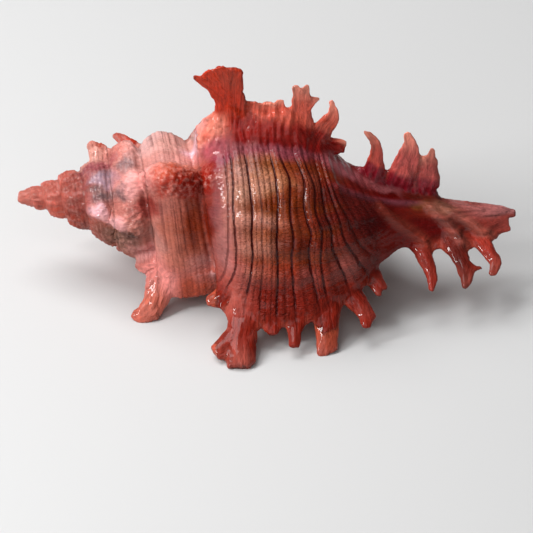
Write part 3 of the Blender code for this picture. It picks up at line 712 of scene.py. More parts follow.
@dataclass(frozen=True)
class NacreFinish:
    """Aragonite shell with a wet gloss, grown in thin layers.

    The outer layer is calcium carbonate with organic pigment. It gives the eye a hard
    pink to red-brown skin with small bright highlights along fine threads.
    """

    name: str = "glossy_aragonite_shell"
    ior: float = 1.53
    roughness: float = 0.34
    specular: float = 0.07
    coat_weight: float = 0.33
    coat_roughness: float = 0.06
    groove_depth: float = 0.1
    step_height: float = 0.2
    bead_height: float = 0.5
    grit_height: float = 0.09
    vein_height: float = 0.3
    line_depth: float = 0.16
    line_colour: str = LINE_BROWN
    # painted shade: colour that darkens the grooves between the fine threads
    groove_shade_colour: str = "#4c0c04"
    scale_colour: str = "#f0aa9c"
    margin_colour: str = "#c45a46"

    def add(self, tree: bpy.types.NodeTree, kind: str, settings: dict | None = None,
            **links: object) -> bpy.types.Node:
        """Adds a node with its settings and its links.

        Args:
            tree: Node tree of the material.
            kind: Blender's name of the node.
            settings: Attributes of the node.
            links: Inputs by name or, after an underscore, by number: a socket or a value.
        Returns:
            The new node.
        """
        node = tree.nodes.new(kind)
        for key, value in (settings or {}).items():
            setattr(node, key, value)
        for key, value in links.items():
            target = node.inputs[int(key[1:])] if key.startswith("_") else node.inputs[key.replace("__", " ")]
            if isinstance(value, bpy.types.NodeSocket):
                tree.links.new(value, target)
            else:
                target.default_value = value
        return node

    def make(self) -> bpy.types.Material:
        """Makes the material."""
        material = bpy.data.materials.new(self.name)
        material.use_nodes = True
        tree = material.node_tree
        shader = tree.nodes["Principled BSDF"]
        add = self.add

        def maths(kind: str, first: Socket, second: Socket | float = 0.0, clamp: bool = False) -> Socket:
            """One step of arithmetic."""
            return add(tree, "ShaderNodeMath", {"operation": kind, "use_clamp": clamp},
                       _0=first, _1=second).outputs[0]

        def ramp(value: Socket, low: float, high: float, start: float = 0.0, end: float = 1.0,
                 kind: str = "LINEAR") -> Socket:
            """Maps one range of values to another."""
            return add(tree, "ShaderNodeMapRange", {"interpolation_type": kind},
                       _0=value, _1=low, _2=high, _3=start, _4=end).outputs[0]

        def noise(where: Socket, scale: float, detail: float, rough: float = 0.5,
                  bend: float = 0.0) -> Socket:
            """Smooth noise, from 0 to 1."""
            return add(tree, "ShaderNodeTexNoise", _0=where, Scale=scale, Detail=detail, Roughness=rough,
                       Distortion=bend).outputs["Fac"]

        def mix(share: Socket, under: Socket, code: str) -> Socket:
            """Lays a plain colour over another one."""
            return add(tree, "ShaderNodeMix", {"data_type": "RGBA"}, _0=share, _6=under,
                       _7=(*linear(code), 1.0)).outputs[2]

        def split(name: str) -> list[Socket]:
            """The three values of an attribute."""
            vector = add(tree, "ShaderNodeAttribute", {"attribute_name": name}).outputs["Vector"]
            return list(add(tree, "ShaderNodeSeparateXYZ", _0=vector).outputs)

        tint = add(tree, "ShaderNodeAttribute", {"attribute_name": "shell_tint"}).outputs["Color"]
        count, width, ink = split("shell_lines")
        thread, growth, fine = split("shell_grain")
        dull, scaly, crest = split("shell_state")
        across, run, on_leaf = split("shell_leaf")
        place = add(tree, "ShaderNodeTexCoord").outputs["Object"]

        # the dark lines, at each whole number of the count
        away = maths("ABSOLUTE", maths("SUBTRACT", maths("FRACT", maths("ADD", count, 0.5)), 0.5))
        waver = ramp(noise(place, 900.0, 2.0), 0.3, 0.7, 0.75, 1.15)
        ratio = maths("DIVIDE", maths("DIVIDE", away, width), waver)
        line = maths("MULTIPLY", ramp(ratio, 1.5, 0.55, kind="SMOOTHSTEP"), ink)

        # fine threads, about 0.9 mm apart, with their grooves between them
        wave = maths("COSINE", maths("MULTIPLY", thread, 2.0 * math.pi))
        groove = maths("MULTIPLY", ramp(wave, 0.1, 1.0), fine)

        # growth stripes, about 0.5 mm apart, broken up along the threads, with finer beads
        spread = add(tree, "ShaderNodeCombineXYZ", _0=growth, _1=thread).outputs[0]
        stripes = noise(spread, 1.0, 3.0, 0.6)
        mottle = noise(place, 260.0, 4.0, 0.6)
        speck = noise(place, 1500.0, 2.0)
        beads = add(tree, "ShaderNodeVectorMath", {"operation": "MULTIPLY"}, _0=spread, _1=(3.2, 1.6, 1.0))
        beads = noise(beads.outputs[0], 1.0, 1.0)

        # streaks that run along each prong, about 0.5 mm wide
        fibre = noise(add(tree, "ShaderNodeCombineXYZ", _0=across, _1=run).outputs[0], 1.0, 3.0, 0.55, 0.3)
        streak = ramp(fibre, 0.32, 0.66, 0.78, 1.25)
        streak = add(tree, "ShaderNodeMix", {"data_type": "FLOAT"}, _0=on_leaf, _2=1.0, _3=streak).outputs[0]

        light = maths("MULTIPLY", ramp(mottle, 0.3, 0.7, 0.8, 1.2), ramp(stripes, 0.3, 0.7, 0.84, 1.14))
        light = maths("MULTIPLY", light, streak)
        colour = add(tree, "ShaderNodeVectorMath", {"operation": "SCALE"}, _0=tint, Scale=light).outputs[0]
        # painted shade: the grooves between the threads are darkened a little
        colour = mix(maths("MULTIPLY", groove, 0.22), colour, self.groove_shade_colour)
        pale = maths("MULTIPLY", ramp(speck, 0.46, 0.8, 0.0, 0.45), scaly)
        colour = mix(pale, colour, self.scale_colour)
        colour = mix(maths("MULTIPLY", crest, 0.3), colour, self.margin_colour)
        tree.links.new(mix(line, colour, self.line_colour), shader.inputs["Base Color"])

        rough = ramp(mottle, 0.3, 0.7, self.roughness - 0.08, self.roughness + 0.1)
        tree.links.new(maths("ADD", rough, dull, True), shader.inputs["Roughness"])
        shader.inputs["IOR"].default_value = self.ior
        shader.inputs["Specular IOR Level"].default_value = self.specular
        shader.inputs["Coat Weight"].default_value = self.coat_weight
        shader.inputs["Coat Roughness"].default_value = self.coat_roughness

        # relief in millimetres: grooves, growth steps, beads, grit, streaks and the lines' cuts
        height = maths("MULTIPLY", groove, -self.groove_depth)
        for part, rise in ((stripes, self.step_height), (maths("MULTIPLY", beads, fine), self.bead_height),
                           (speck, self.grit_height), (maths("MULTIPLY", fibre, on_leaf), self.vein_height),
                           (line, -self.line_depth)):
            height = maths("ADD", height, maths("MULTIPLY", part, rise))
        bump = add(tree, "ShaderNodeBump", Strength=1.0, Distance=MM, Height=height).outputs[0]
        tree.links.new(bump, shader.inputs["Normal"])
        return material


@dataclass
class Aperture:
    """The oval mouth, a bag that follows the whorl inwards, and the canal's slot."""

    distance: float = 44.5
    radius: float = 10.4
    from_lip: float = 14.0
    half_length: float = 8.6
    half_width: float = 4.9
    depth: float = 100.0
    climb: float = 5.0
    curl: float = 0.12
    taper: float = 0.55
    slot_from_lip: float = 17.0
    slot: Prong = ((50.0, 7.6, 1.5), (54.0, 5.4, 1.2), (58.0, 4.6, 0.95), (64.0, 3.4, 0.8),
                   (72.0, 2.3, 0.65), (77.0, 1.9, 0.6))

    def bag(self) -> tuple[list[tuple[float, float, float, float]], Matrix]:
        """Line of the bag, and the matrix that places and lengthens it."""
        stretch = self.half_length / self.half_width
        line = []
        for share in np.linspace(0.0, 1.0, 13):
            outwards = out_from_axis(LIP_ANGLE - self.from_lip + share * self.depth)
            outwards = outwards * self.radius * (1.0 - self.curl * share)
            along = (self.distance - LENGTH / 2.0 - self.climb * share) / stretch
            line.append((along, outwards.y, outwards.z, self.half_width * (1.0 - self.taper * share ** 2)))
        middle = Vector((ORIGIN_SHIFT[0], ORIGIN_SHIFT[1], AXIS_HEIGHT)) * MM
        return line, Matrix.Translation(middle) @ Matrix.Diagonal(Vector((stretch, 1.0, 1.0, 1.0)))


@dataclass
class MurexShell:
    """The whole shell: coil, fringes and aperture fused, carved and coloured."""

    coil: Coil = field(default_factory=Coil)
    lines: DarkLines = field(default_factory=DarkLines)
    aperture: Aperture = field(default_factory=Aperture)
    rows: int = 420
    columns: int = 460
    wall: int = 20
    coarse_voxel: float = 0.34
    fine_voxel: float = 0.2
    most_triangles: int = 196000
    canal_end: float = 79.4
    sweep: float = 359.98
    prong_step: float = 0.35
    batch: int = 20000

    def skin_grid(self) -> bpy.types.Object:
        """Bends a grid round the axis into the coiled body, closed by a wall at the lip."""
        bpy.ops.mesh.primitive_grid_add(x_subdivisions=self.rows, y_subdivisions=self.columns + self.wall,
                                        size=1.0)
        item = bpy.context.active_object
        mesh = item.data
        flat = np.empty(len(mesh.vertices) * 3)
        mesh.vertices.foreach_get("co", flat)
        flat = flat.reshape(-1, 3)[:, :2] + 0.5
        both = self.columns + self.wall
        distance = flat[:, 0] * self.canal_end
        up_wall = np.clip((flat[:, 1] * both - self.columns) / self.wall, 0.0, 1.0)
        angle = LIP_ANGLE + np.clip(flat[:, 1] * both / self.columns, 0.0, 1.0) * self.sweep
        none = np.zeros_like(distance)
        lip = self.coil.radius_of(self.coil.places(distance, none + LIP_ANGLE, none))
        radius = self.coil.radius_of(self.coil.places(distance, angle, none)) * (1.0 - up_wall)
        radius = radius + lip * up_wall
        radius[(flat[:, 0] < 1e-6) | (flat[:, 0] > 1.0 - 1e-6)] = 0.0
        turned = np.radians(UP_ANGLE - angle - up_wall * (360.0 - self.sweep))
        mesh.vertices.foreach_set("co", (in_space(distance, turned, radius) * MM).ravel())
        self.weld(item)
        return item

    def weld(self, item: bpy.types.Object) -> None:
        """Merges what touches, and turns all faces outwards."""
        activate(item)
        bpy.ops.object.mode_set(mode="EDIT")
        bpy.ops.mesh.select_all(action="SELECT")
        bpy.ops.mesh.remove_doubles(threshold=1e-7)
        bpy.ops.mesh.normals_make_consistent(inside=False)
        bpy.ops.object.mode_set(mode="OBJECT")

    def tubes(self, name: str, lines: list, place: Matrix, flatten: float, fine: int) -> bpy.types.Object:
        """Makes round or flattened tubes along lines of points.

        Args:
            name: Name of the object.
            lines: Lines of points with a half width each.
            place: Matrix that takes the points to their place.
            flatten: Thickness as a share of the width, along the matrix's Z.
            fine: Bevel resolution.
        Returns:
            The tubes as one mesh object.
        """
        curve = bpy.data.curves.new(name, "CURVE")
        curve.dimensions = "3D"
        curve.bevel_depth = MM
        curve.bevel_resolution = fine
        curve.resolution_u = 10
        curve.use_fill_caps = True
        for line in lines:
            spline = curve.splines.new("NURBS")
            spline.points.add(len(line) - 1)
            for point, (along, out, through, half_width) in zip(spline.points, line):
                point.co = (along * MM, out * MM, through * MM / flatten, 1.0)
                point.radius = half_width
            spline.order_u = min(3, len(line))
            spline.use_endpoint_u = True
        item = bpy.data.objects.new(name, curve)
        bpy.context.scene.collection.objects.link(item)
        activate(item)
        bpy.ops.object.convert(target="MESH")
        item = bpy.context.active_object
        item.data.transform(place @ Matrix.Diagonal(Vector((1.0, 1.0, flatten, 1.0))))
        self.weld(item)
        return item

    def apply(self, item: bpy.types.Object, kind: str, **settings: object) -> None:
        """Adds a modifier with its settings and applies it."""
        activate(item)
        step = item.modifiers.new(kind.lower(), kind)
        for key, value in settings.items():
            setattr(step, key, value)
        bpy.ops.object.modifier_apply(modifier=step.name)

    def fused(self) -> bpy.types.Object:
        """Fuses the coil and the fringes, and cuts the aperture and the canal's slot."""
        parts = [self.skin_grid()]
        for index, fringe in enumerate(FRINGES):
            parts.append(self.tubes(f"fringe_{index}", fringe.lines(), fringe.matrix(), fringe.thinness, 5))
        activate(*parts)
        bpy.ops.object.join()
        shell = bpy.context.active_object
        shell.name = "murex_shell_skin"
        shell.data.transform(skew_matrix())
        self.apply(shell, "REMESH", mode="VOXEL", voxel_size=self.coarse_voxel * MM)
        line, place = self.aperture.bag()
        bag = self.tubes("mouth_bag", [line], place, 1.0, 8)
        narrow = Fringe(LIP_ANGLE - self.aperture.slot_from_lip, (self.aperture.slot,), 1.0)
        slot = self.tubes("slot_line", narrow.lines(), narrow.matrix(), 1.0, 4)
        for cutter in (bag, slot):
            cutter.data.transform(skew_matrix())
            self.apply(shell, "BOOLEAN", operation="DIFFERENCE", object=cutter, solver="EXACT")
            bpy.data.objects.remove(cutter)
        self.apply(shell, "REMESH", mode="VOXEL", voxel_size=self.fine_voxel * MM)
        self.apply(shell, "SMOOTH", factor=0.5, iterations=8)
        LOG.info("fused skin: %d faces", len(shell.data.polygons))
        return shell

    def points_of(self, mesh: bpy.types.Mesh) -> np.ndarray:
        """Points of a mesh in millimetres."""
        points = np.empty(len(mesh.vertices) * 3)
        mesh.vertices.foreach_get("co", points)
        return points.reshape(-1, 3) / MM

    def normals_of(self, mesh: bpy.types.Mesh) -> np.ndarray:
        """Outward normals of a mesh at its points."""
        normals = np.empty(len(mesh.vertices) * 3)
        mesh.vertex_normals.foreach_get("vector", normals)
        return normals.reshape(-1, 3)

    def places_of(self, points: np.ndarray) -> Places:
        """Places of points in space on the coil."""
        across = points[:, 1] - ORIGIN_SHIFT[1]
        height = points[:, 2] - AXIS_HEIGHT
        angle = UP_ANGLE - np.degrees(np.arctan2(-across, height))
        across_share, up_share, _ = skew_rows()
        distance = points[:, 0] - ORIGIN_SHIFT[0] + LENGTH / 2.0 - across * across_share - height * up_share
        return self.coil.places(distance, angle, np.hypot(across, height))

    def near_prongs(self, points: np.ndarray) -> NearProng:
        """Finds for each point the prong whose surface is nearest."""
        rows = []
        for kind, fringe in enumerate(FRINGES):
            forward = np.array(fringe.matrix())[:3, 2]
            for line, half in fringe.centre_lines():
                run = np.concatenate(([0.0], np.cumsum(np.linalg.norm(np.diff(line, axis=0), axis=1))))
                even = np.arange(0.0, run[-1], self.prong_step)
                line = np.stack([np.interp(even, run, line[:, axis]) for axis in range(3)], axis=1)
                rows.append((line, np.gradient(line, axis=0), np.tile(forward, (len(even), 1)),
                             np.interp(even, run, half), even / run[-1], even, np.full(len(even), kind)))
        columns = [np.concatenate(column) for column in zip(*rows)]
        centres, tangents, forwards, widths, shares, runs, kinds = columns
        tangents /= np.linalg.norm(tangents, axis=1)[:, None]
        side = np.cross(forwards, tangents)
        best = np.empty(len(points), dtype=int)
        depth = np.empty(len(points))
        for start in range(0, len(points), self.batch):
            some = points[start:start + self.batch]
            gap = np.sqrt(np.maximum((some ** 2).sum(1)[:, None] + (centres ** 2).sum(1)[None]
                                     - 2.0 * some @ centres.T, 0.0)) - widths[None]
            best[start:start + self.batch] = gap.argmin(axis=1)
            depth[start:start + self.batch] = gap.min(axis=1)
        offset = points - centres[best]
        return NearProng(depth, shares[best], runs[best] + (offset * tangents[best]).sum(1), widths[best],
                         (offset * side[best]).sum(1), forwards[best], kinds[best])

    def carve(self, shell: bpy.types.Object) -> None:
        """Raises the threads, scales, folds and gutters, and cuts the lines into the skin."""
        mesh = shell.data
        points = self.points_of(mesh)
        normals = self.normals_of(mesh)
        at = self.places_of(points)
        above = at.radius - self.coil.plain_radius(at)
        at = at.followed()
        count, width, ink, thread = self.lines.measure(self.coil, at)
        near = self.near_prongs(points)
        outward = self.outward(points, normals)
        on_skin = smooth_step(-0.9, -0.4, above) * smooth_step(-0.2, 0.3, outward)
        on_prong = smooth_step(0.9, 0.1, near.depth) * smooth_step(1.2, 2.4, above)
        raised = smooth_step(0.8, 2.2, above)
        wave = np.cos(2.0 * math.pi * thread)
        grown = at.turn * 360.0
        fluffy, scaly = self.scaliness(at)
        crest_face = self.crest_face(at, above)
        body = (at.whorl == 0) * smooth_step(0.22, 0.4, at.share) * smooth_step(60.0, 54.0, at.distance)
        plain = (1.0 - on_prong) * (1.0 - fluffy) * (1.0 - crest_face)
        lift = -0.05 * wave * on_skin * plain * np.where(at.whorl < 0, 0.7, body)
        away = np.abs(count - np.round(count)) / np.maximum(width, 1e-3)
        lift -= 0.12 * ink * np.exp(-(away / 1.4) ** 2) * on_skin * plain
        between = 4.0 * (count - np.round(count)) ** 2
        lift += 0.14 * between * body * on_skin * plain * smooth_step(-0.5, 0.5, count)
        for pause, high, wide in PAUSE_SWELLS:
            lift += high * np.exp(-((grown - pause) / wide) ** 2) * on_skin * body
        seam = np.exp(-(np.minimum(at.share, 1.0 - at.share) / 0.07) ** 2) * (at.whorl < 0)
        small = smooth_step(14.0, 9.0, at.distance) * smooth_step(0.5, 4.0, at.distance)
        lift -= 0.26 * seam * small * on_skin
        swell = np.sin(math.pi * np.clip(at.share, 0.0, 1.0)) * (at.whorl < 0)
        lift += 0.2 * np.cos(grown * math.pi / 13.0) * swell * small * on_skin
        lift += 0.025 * np.sin(grown * 3.3 + 1.5 * Ripples(3, 9.0).at(points)) * on_skin * plain
        # lumps of scales on the older varices and on the young whorls
        low = smooth_step(4.2, 2.8, above)
        fluffy = fluffy * low
        for lump in LUMPS:
            mask = lump.mask(at.distance, at.angle)
            lift += lump.height * mask * on_skin * smooth_step(0.3, -0.3, -outward) * low
        saw = (grown * 0.30 + 0.55 * Ripples(5, 2.6).at(points) + 0.2 * wave) % 1.0
        frill = np.where(at.distance < 20.5, 0.34, 0.22)
        lift += frill * fluffy * (saw ** 2 - 0.3) * on_skin
        lift += 0.14 * fluffy * Ripples(7, 1.1).at(points) * on_skin
        scales = 0.10 * (saw ** 2 - 0.3) + 0.08 * Ripples(8, 1.1).at(points)
        lift += scales * scaly * (1.0 - fluffy) * on_skin
        # prongs: a gutter on the side of the aperture, veins, and a slightly frilled margin
        share = np.clip(np.abs(near.across) / np.maximum(near.width, 0.2), 0.0, 1.2)
        facing = (normals * near.forward).sum(1)
        veins = Ripples(9, 1.0).at(np.stack((near.across * 1.4, near.run * 0.22, near.fringe * 9.0), axis=1))
        lift += 0.05 * veins * on_prong
        gutter = np.clip(1.0 - share ** 2, 0.0, 1.0) * smooth_step(0.3, 0.8, facing)
        lift -= 0.38 * near.width * gutter * on_prong * smooth_step(0.15, 0.45, near.along)
        lift += 0.07 * Ripples(11, 1.8).at(points) * smooth_step(0.5, 1.0, share) * on_prong
        # folds of the varices' faces, ribs of the canal
        fold = np.cos(2.0 * math.pi * at.distance / 1.25 + 1.1 * Ripples(13, 5.0).at(points))
        fold = fold * (0.6 + 0.4 * Ripples(14, 3.0).at(points))
        lift += 0.16 * fold * np.maximum(crest_face, 0.25 * raised) * (1.0 - on_prong)
        lift += 0.04 * raised * Ripples(15, 1.7).at(points) + 0.02 * Ripples(17, 0.9).at(points)
        for rib in RIBS:
            lift += rib.height * rib.share(self.coil, points, at)
        points = points + normals * lift[:, None]
        least = np.array(CAD_BOX[0]) / MM
        most = np.array(CAD_BOX[1]) / MM
        points = np.clip(points, least - (0.6, 0.6, 0.0), most + (0.6, 0.6, 0.6))
        mesh.vertices.foreach_set("co", (points * MM).ravel())
        mesh.update()
        self.apply(shell, "DECIMATE", ratio=self.most_triangles / (2.0 * len(mesh.polygons)))
        LOG.info("carved skin: %d faces", len(shell.data.polygons))

    def scaliness(self, at: Places) -> tuple[np.ndarray, np.ndarray]:
        """How fluffy with scales each point is, and how finely scaly."""
        knob = smooth_step(0.09, 0.2, self.coil.knob_mask(at, 12.0))
        middle = np.sin(math.pi * np.clip(at.share, 0.0, 1.0)) ** 0.5
        fluffy = np.clip(knob * middle * smooth_step(9.0, 14.0, at.distance), 0.0, 1.0)
        for lump in LUMPS:
            fluffy = np.maximum(fluffy, np.clip(1.4 * lump.mask(at.distance, at.angle), 0.0, 1.0))
        young = smooth_step(21.0, 18.0, at.distance) * (at.whorl < 0)
        return fluffy, np.maximum(fluffy, 0.8 * young)

    def crest_face(self, at: Places, above: np.ndarray) -> np.ndarray:
        """How much each point is on the crest's face towards the aperture."""
        there = smooth_step(26.0, 33.0, at.angle) * smooth_step(62.0, 52.0, at.angle)
        return there * smooth_step(0.35, 1.1, above) * (at.whorl == 0)

    def outward(self, points: np.ndarray, normals: np.ndarray) -> np.ndarray:
        """How far each normal points away from the axis."""
        ways = points[:, 1:] - (ORIGIN_SHIFT[1], AXIS_HEIGHT)
        ways = ways / np.maximum(np.linalg.norm(ways, axis=1), 1e-6)[:, None]
        return (normals[:, 1:] * ways).sum(axis=1)

    def blend(self, colour: np.ndarray, code: str, weight: np.ndarray) -> np.ndarray:
        """Mixes a colour into the skin by a weight for each point."""
        weight = np.clip(weight, 0.0, 1.0)[:, None]
        return colour * (1.0 - weight) + np.array(linear(code)) * weight

    def stops(self, colours: tuple[tuple[float, str], ...], where: np.ndarray) -> np.ndarray:
        """Reads a row of colours off along the axis."""
        shades = np.array([linear(code) for _, code in colours])
        places = [place for place, _ in colours]
        return np.stack([np.interp(where, places, shades[:, channel]) for channel in range(3)], axis=1)

    def tint(self, points: np.ndarray, normals: np.ndarray, at: Places, above: np.ndarray,
             near: NearProng) -> np.ndarray:
        """Colour of the skin at each point, in linear light."""
        distance = at.distance + 0.45 * Ripples(21, 3.2).at(points)
        sway = np.clip(14.0 / np.maximum(at.radius, 4.0), 1.0, 3.0)
        angle = at.angle + 2.0 * Ripples(23, 3.2).at(points) * sway
        # partly painted shade: the lower side blends to a mostly darker row of colours
        below = smooth_step(-8.0, -38.0, at.angle)[:, None]
        colour = self.stops(UPPER_COLOURS, at.distance) * (1.0 - below)
        colour = colour + self.stops(LOWER_COLOURS_WITH_SHADE, at.distance) * below
        fringe = smooth_step(1.0, 2.6, above - 2.6 * self.scaliness(at)[0])
        for patch in PATCHES:
            weight = patch.mask(distance, angle) * (1.0 - fringe if patch.zone is Zone.WHORL else 1.0)
            colour = self.blend(colour, patch.colour, weight * patch.strength)
        # brown growth bands of the last turn, and paler bands on its left part where the growth paused; the
        # paler bands are partly painted highlights on the swells there
        grown = at.turn * 360.0 + 1.5 * Ripples(25, 8.0).at(points)
        body = (at.whorl == 0) * smooth_step(0.25, 0.45, at.share) * smooth_step(54.0, 50.0, at.distance)
        body = body * (1.0 - fringe)
        left = smooth_step(44.0, 39.0, at.distance)
        layers = []
        for pause in PAUSE_BANDS_AND_HIGHLIGHTS:
            # partly painted highlights: paler pink bands on the pause swells of the left part
            layers.append(("#d08c78", 0.5 * np.exp(-((grown - pause) / 4.0) ** 2) * body * left))
            layers.append(("#863404", 0.5 * np.exp(-((grown - pause + 9.5) / 3.6) ** 2) * body))
        # the varices: prongs brighter above and darker below, the darker lower prongs partly painted shade;
        # deep red face towards the aperture
        far = smooth_step(54.0, 62.0, at.distance)
        upper = smooth_step(-20.0, 20.0, at.angle) * smooth_step(250.0, 200.0, at.angle)
        leaf = fringe * smooth_step(14.0, 19.0, at.distance)
        old = leaf * (at.whorl < 0) * (1.0 - upper)
        tips = smooth_step(0.45, 1.0, near.along) * smooth_step(0.6, 0.1, near.depth) * fringe
        slim = smooth_step(37.0, 42.0, at.distance)
        root = smooth_step(0.5, 0.0, near.along) * fringe * (near.fringe == 0)
        face = self.crest_face(at, above)
        # the lighter streaks along the folds of the varices' faces are partly painted highlights
        streaks = 0.5 + 0.5 * np.sin(2.0 * math.pi * at.distance / 1.25 + 1.5 * Ripples(29, 3.0).at(points))
        deep = face * smooth_step(4.4, 3.0, above) * (1.0 - far) * smooth_step(33.0, 35.5, at.distance)
        wine = face * smooth_step(4.6, 3.2, above) * smooth_step(52.5, 54.5, at.distance)
        shoulder = smooth_step(34.6, 32.6, at.distance) * smooth_step(27.5, 29.0, at.distance)
        shoulder = shoulder * smooth_step(34.0, 42.0, at.angle) * smooth_step(95.0, 75.0, at.angle)
        shoulder = shoulder * (at.whorl == 0) * smooth_step(5.5, 3.5, above)
        layers += [
            # partly painted shade: prongs on the lower side are darker, also far along the axis
            (FROND_SHADED_DARK, leaf * (1.0 - upper)),
            (FROND_RED, leaf * upper),
            ("#c0503e", leaf * upper * (1.0 - far) * smooth_step(36.0, 38.0, at.distance)),
            ("#b44e48", leaf * far * upper),
            ("#80281e", leaf * far * (1.0 - upper) * 0.7),
            ("#c06452", old),
            ("#d88078", old * smooth_step(8.0, 3.5, above)),
            ("#a8452e", old * smooth_step(25.0, 27.0, at.distance)),
            ("#dc8470", tips * upper * slim),
            ("#9c3a26", 0.6 * tips * upper * (1.0 - slim) * (1.0 + Ripples(26, 5.0).at(points))),
            ("#a04c40", 0.4 * tips * (1.0 - upper) * (1.0 + Ripples(27, 6.0).at(points))),
            ("#c06458", 0.6 * root * smooth_step(40.0, 34.0, at.distance)),
            (CRIMSON, 0.95 * deep),
            # partly painted highlights: lighter red and mauve streaks on the deep red faces
            ("#b03c34", 0.35 * deep * streaks * smooth_step(0.8, 2.0, above)),
            (WINE, 0.95 * wine),
            ("#9c4450", 0.3 * wine * streaks ** 3),
            ("#e4806a", 0.9 * shoulder * smooth_step(1.0, 2.6, above)),
            ("#b42c18", 0.7 * shoulder * smooth_step(0.3, 1.2, Ripples(31, 4.0).at(points))),
        ]
        layers += [(rib.colour, 0.9 * rib.share(self.coil, points, at)) for rib in RIBS]
        for code, weight in layers:
            colour = self.blend(colour, code, weight)
        along = np.stack((at.distance * 0.22, at.angle * 0.11, at.angle * 0.03), axis=1)
        fibres = Ripples(35, 1.0).at(along) * smooth_step(60.0, 68.0, at.distance)
        colour = colour * (1.0 + 0.32 * fibres)[:, None]
        inside = smooth_step(-0.8, -2.0, above) * smooth_step(26.0, 30.0, at.distance)
        return np.clip(self.blend(colour, "#e6b49c", inside), 0.0, 1.0)

    def store(self, mesh: bpy.types.Mesh, name: str, values: np.ndarray) -> None:
        """Stores three numbers a point under a name."""
        made = mesh.attributes.new(name, "FLOAT_VECTOR", "POINT")
        made.data.foreach_set("vector", np.ascontiguousarray(values, dtype=np.float32).ravel())

    def dress(self, shell: bpy.types.Object) -> None:
        """Stores what the material reads, and gives the shell its material."""
        mesh = shell.data
        points = self.points_of(mesh)
        normals = self.normals_of(mesh)
        at = self.places_of(points)
        above = at.radius - self.coil.plain_radius(at)
        at = at.followed()
        count, width, ink, thread = self.lines.measure(self.coil, at)
        near = self.near_prongs(points)
        outward = self.outward(points, normals)
        on_skin = smooth_step(-0.9, -0.4, above) * smooth_step(-0.2, 0.2, outward)
        on_prong = smooth_step(0.9, 0.1, near.depth) * smooth_step(1.2, 2.4, above)
        behind = (at.angle > LIP_ANGLE - 1.0) & (at.angle < 0.0) & (at.whorl == 0)
        fluffy, scaly = (kind * smooth_step(4.2, 2.8, above) for kind in self.scaliness(at))
        face = self.crest_face(at, above)
        reach = np.where(behind, smooth_step(9.5, 7.0, above), smooth_step(1.4, 0.5, above))
        first = at.angle + 17.0 * smooth_step(46.0, 51.0, at.distance)
        ahead = (at.angle > 0.0) & (at.angle < 70.0) & (at.whorl == 0)
        started = np.where(ahead, smooth_step(34.0, 24.0, first), 1.0)
        inked = ink * on_skin * reach * started * (1.0 - fluffy) * (1.0 - face) * (1.0 - 0.6 * on_prong)
        # the lines fade below the red knob, and are fainter on the older whorls
        under = (at.whorl == -1) & (np.abs(at.angle) < 60.0)
        inked = inked * np.where(under, 0.2 + 0.8 * smooth_step(8.0, -12.0, at.angle), 1.0)
        inked = inked * np.where(at.whorl < 0, 0.7, 1.0)
        count = count + 0.02 * Ripples(33, 2.4).at(points)
        body = (at.whorl == 0) * smooth_step(0.22, 0.42, at.share) * smooth_step(60.0, 54.0, at.distance)
        fine = np.where(at.whorl < 0, 0.42, body) * on_skin
        fine = fine * (1.0 - on_prong) * (1.0 - face) * (1.0 - fluffy) * (0.4 + 0.6 * started)
        grey = np.zeros_like(above)
        for patch in PATCHES:
            if patch.colour in (GREY_MAUVE, GREY_BROWN, GREY_LILAC):
                grey = np.maximum(grey, patch.mask(at.distance, at.angle))
        ramp = (at.whorl == 0) * smooth_step(0.3, 0.1, at.share)
        dull = 0.35 * grey + 0.12 * fluffy - 0.06 * ramp
        tips = smooth_step(0.75, 1.05, np.abs(near.across) / np.maximum(near.width, 0.2)) * on_prong
        self.store(mesh, "shell_lines", np.stack((count, np.maximum(width, 0.01), inked), axis=1))
        self.store(mesh, "shell_grain", np.stack((thread, at.turn * 360.0 / 1.7, fine), axis=1))
        self.store(mesh, "shell_state", np.stack((dull, scaly, tips), axis=1))
        self.store(mesh, "shell_leaf", np.stack((near.across / 0.5, near.run / 3.0, on_prong), axis=1))
        colour = self.tint(points, normals, at, above, near)
        made = mesh.attributes.new("shell_tint", "FLOAT_COLOR", "POINT")
        made.data.foreach_set("color", np.c_[colour, np.ones(len(colour))].astype(np.float32).ravel())
        mesh.materials.clear()
        mesh.materials.append(NacreFinish().make())
        activate(shell)
        bpy.ops.object.shade_smooth()

    def build(self) -> bpy.types.Object:
        """Builds the shell and ties it to the model."""
        shell = self.fused()
        self.carve(shell)
        self.dress(shell)
        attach(shell, "root")
        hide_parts("murex_shell")
        return shell


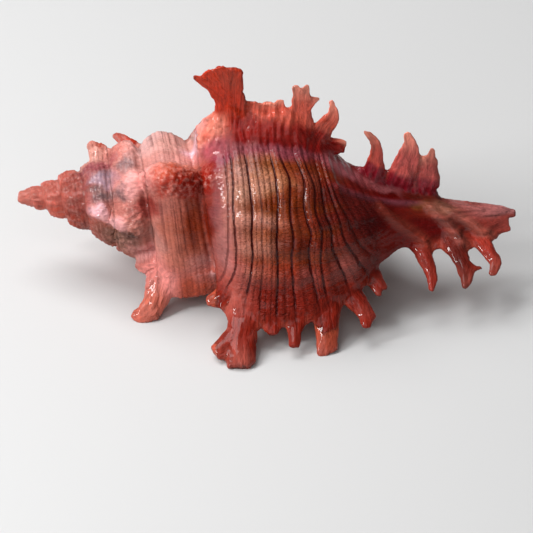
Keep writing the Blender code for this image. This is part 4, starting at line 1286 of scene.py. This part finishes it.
@dataclass
class Studio:
    """Pale floor, soft lights and the camera."""

    pixel: float = 0.16055
    size: int = 533
    elevation: float = 35.0
    roll: float = 1.72
    away: float = 0.9
    middle: tuple[float, float] = (266.2, 204.5)

    def floor(self) -> None:
        """Lays a plain pale floor."""
        bpy.ops.mesh.primitive_plane_add(size=4.0, location=(0.0, 0.0, 0.0))
        floor = bpy.context.active_object
        floor.name = "studio_floor"
        paper = bpy.data.materials.new("matte_backdrop_paper")
        paper.use_nodes = True
        shader = paper.node_tree.nodes["Principled BSDF"]
        shader.inputs["Base Color"].default_value = (*linear("#cecece"), 1.0)
        shader.inputs["Roughness"].default_value = 0.9
        shader.inputs["Specular IOR Level"].default_value = 0.1
        floor.data.materials.append(paper)

    def light(self, name: str, place: tuple[float, float, float], size: tuple[float, float],
              power: float) -> None:
        """Hangs a soft light, of a width and a height, that points at the shell."""
        lamp = bpy.data.lights.new(name, "AREA")
        lamp.shape = "RECTANGLE"
        lamp.size = size[0]
        lamp.size_y = size[1]
        lamp.energy = power
        item = bpy.data.objects.new(name, lamp)
        item.location = place
        item.rotation_euler = (Vector((0.0, 0.0, 0.015)) - Vector(place)).to_track_quat("-Z", "Y").to_euler()
        bpy.context.scene.collection.objects.link(item)

    def camera(self) -> None:
        """Places the camera at the photograph's angle."""
        raised = math.radians(self.elevation)
        back = Vector((0.0, -math.cos(raised), math.sin(raised)))
        up = Vector((0.0, math.sin(raised), math.cos(raised)))
        right = Vector((1.0, 0.0, 0.0))
        roll = math.radians(self.roll)
        right_rolled = right * math.cos(roll) + up * math.sin(roll)
        up_rolled = up * math.cos(roll) - right * math.sin(roll)
        axis = Vector((ORIGIN_SHIFT[0], ORIGIN_SHIFT[1], AXIS_HEIGHT)) * MM
        centre = self.size / 2.0
        aim = axis + (right_rolled * (centre - self.middle[0]) - up_rolled * (centre - self.middle[1])) * (
            self.pixel * MM)
        lens = bpy.data.cameras.new("camera")
        lens.lens = 36.0 * self.away / (self.size * self.pixel * MM)
        lens.sensor_width = 36.0
        item = bpy.data.objects.new("camera", lens)
        turned = Matrix([[column[row] for column in (right_rolled, up_rolled, back)] for row in range(3)])
        item.matrix_world = Matrix.Translation(aim + back * self.away) @ turned.to_4x4()
        bpy.context.scene.collection.objects.link(item)
        bpy.context.scene.camera = item

    def build(self) -> None:
        """Sets up floor, lights, surroundings and camera."""
        self.floor()
        self.light("key_light", (-0.19, 0.12, 0.44), (0.34, 0.34), 2.1)
        self.light("front_fill", (-0.10, -0.42, 0.36), (0.44, 0.44), 0.8)
        self.light("left_strip", (-0.34, -0.17, 0.26), (0.045, 0.26), 1.5)
        world = bpy.data.worlds.new("studio_air")
        world.use_nodes = True
        ground = world.node_tree.nodes["Background"]
        ground.inputs["Color"].default_value = (*linear("#f2f2f2"), 1.0)
        ground.inputs["Strength"].default_value = 0.12
        bpy.context.scene.world = world
        bpy.context.scene.view_settings.view_transform = "Standard"
        self.camera()


def main() -> None:
    """Builds the shell and the studio."""
    bpy.ops.object.select_all(action="DESELECT")
    shell = MurexShell().build()
    LOG.info("shell done: %d triangles", len(shell.data.polygons))
    Studio().build()


if __name__ == "__main__":
    main()
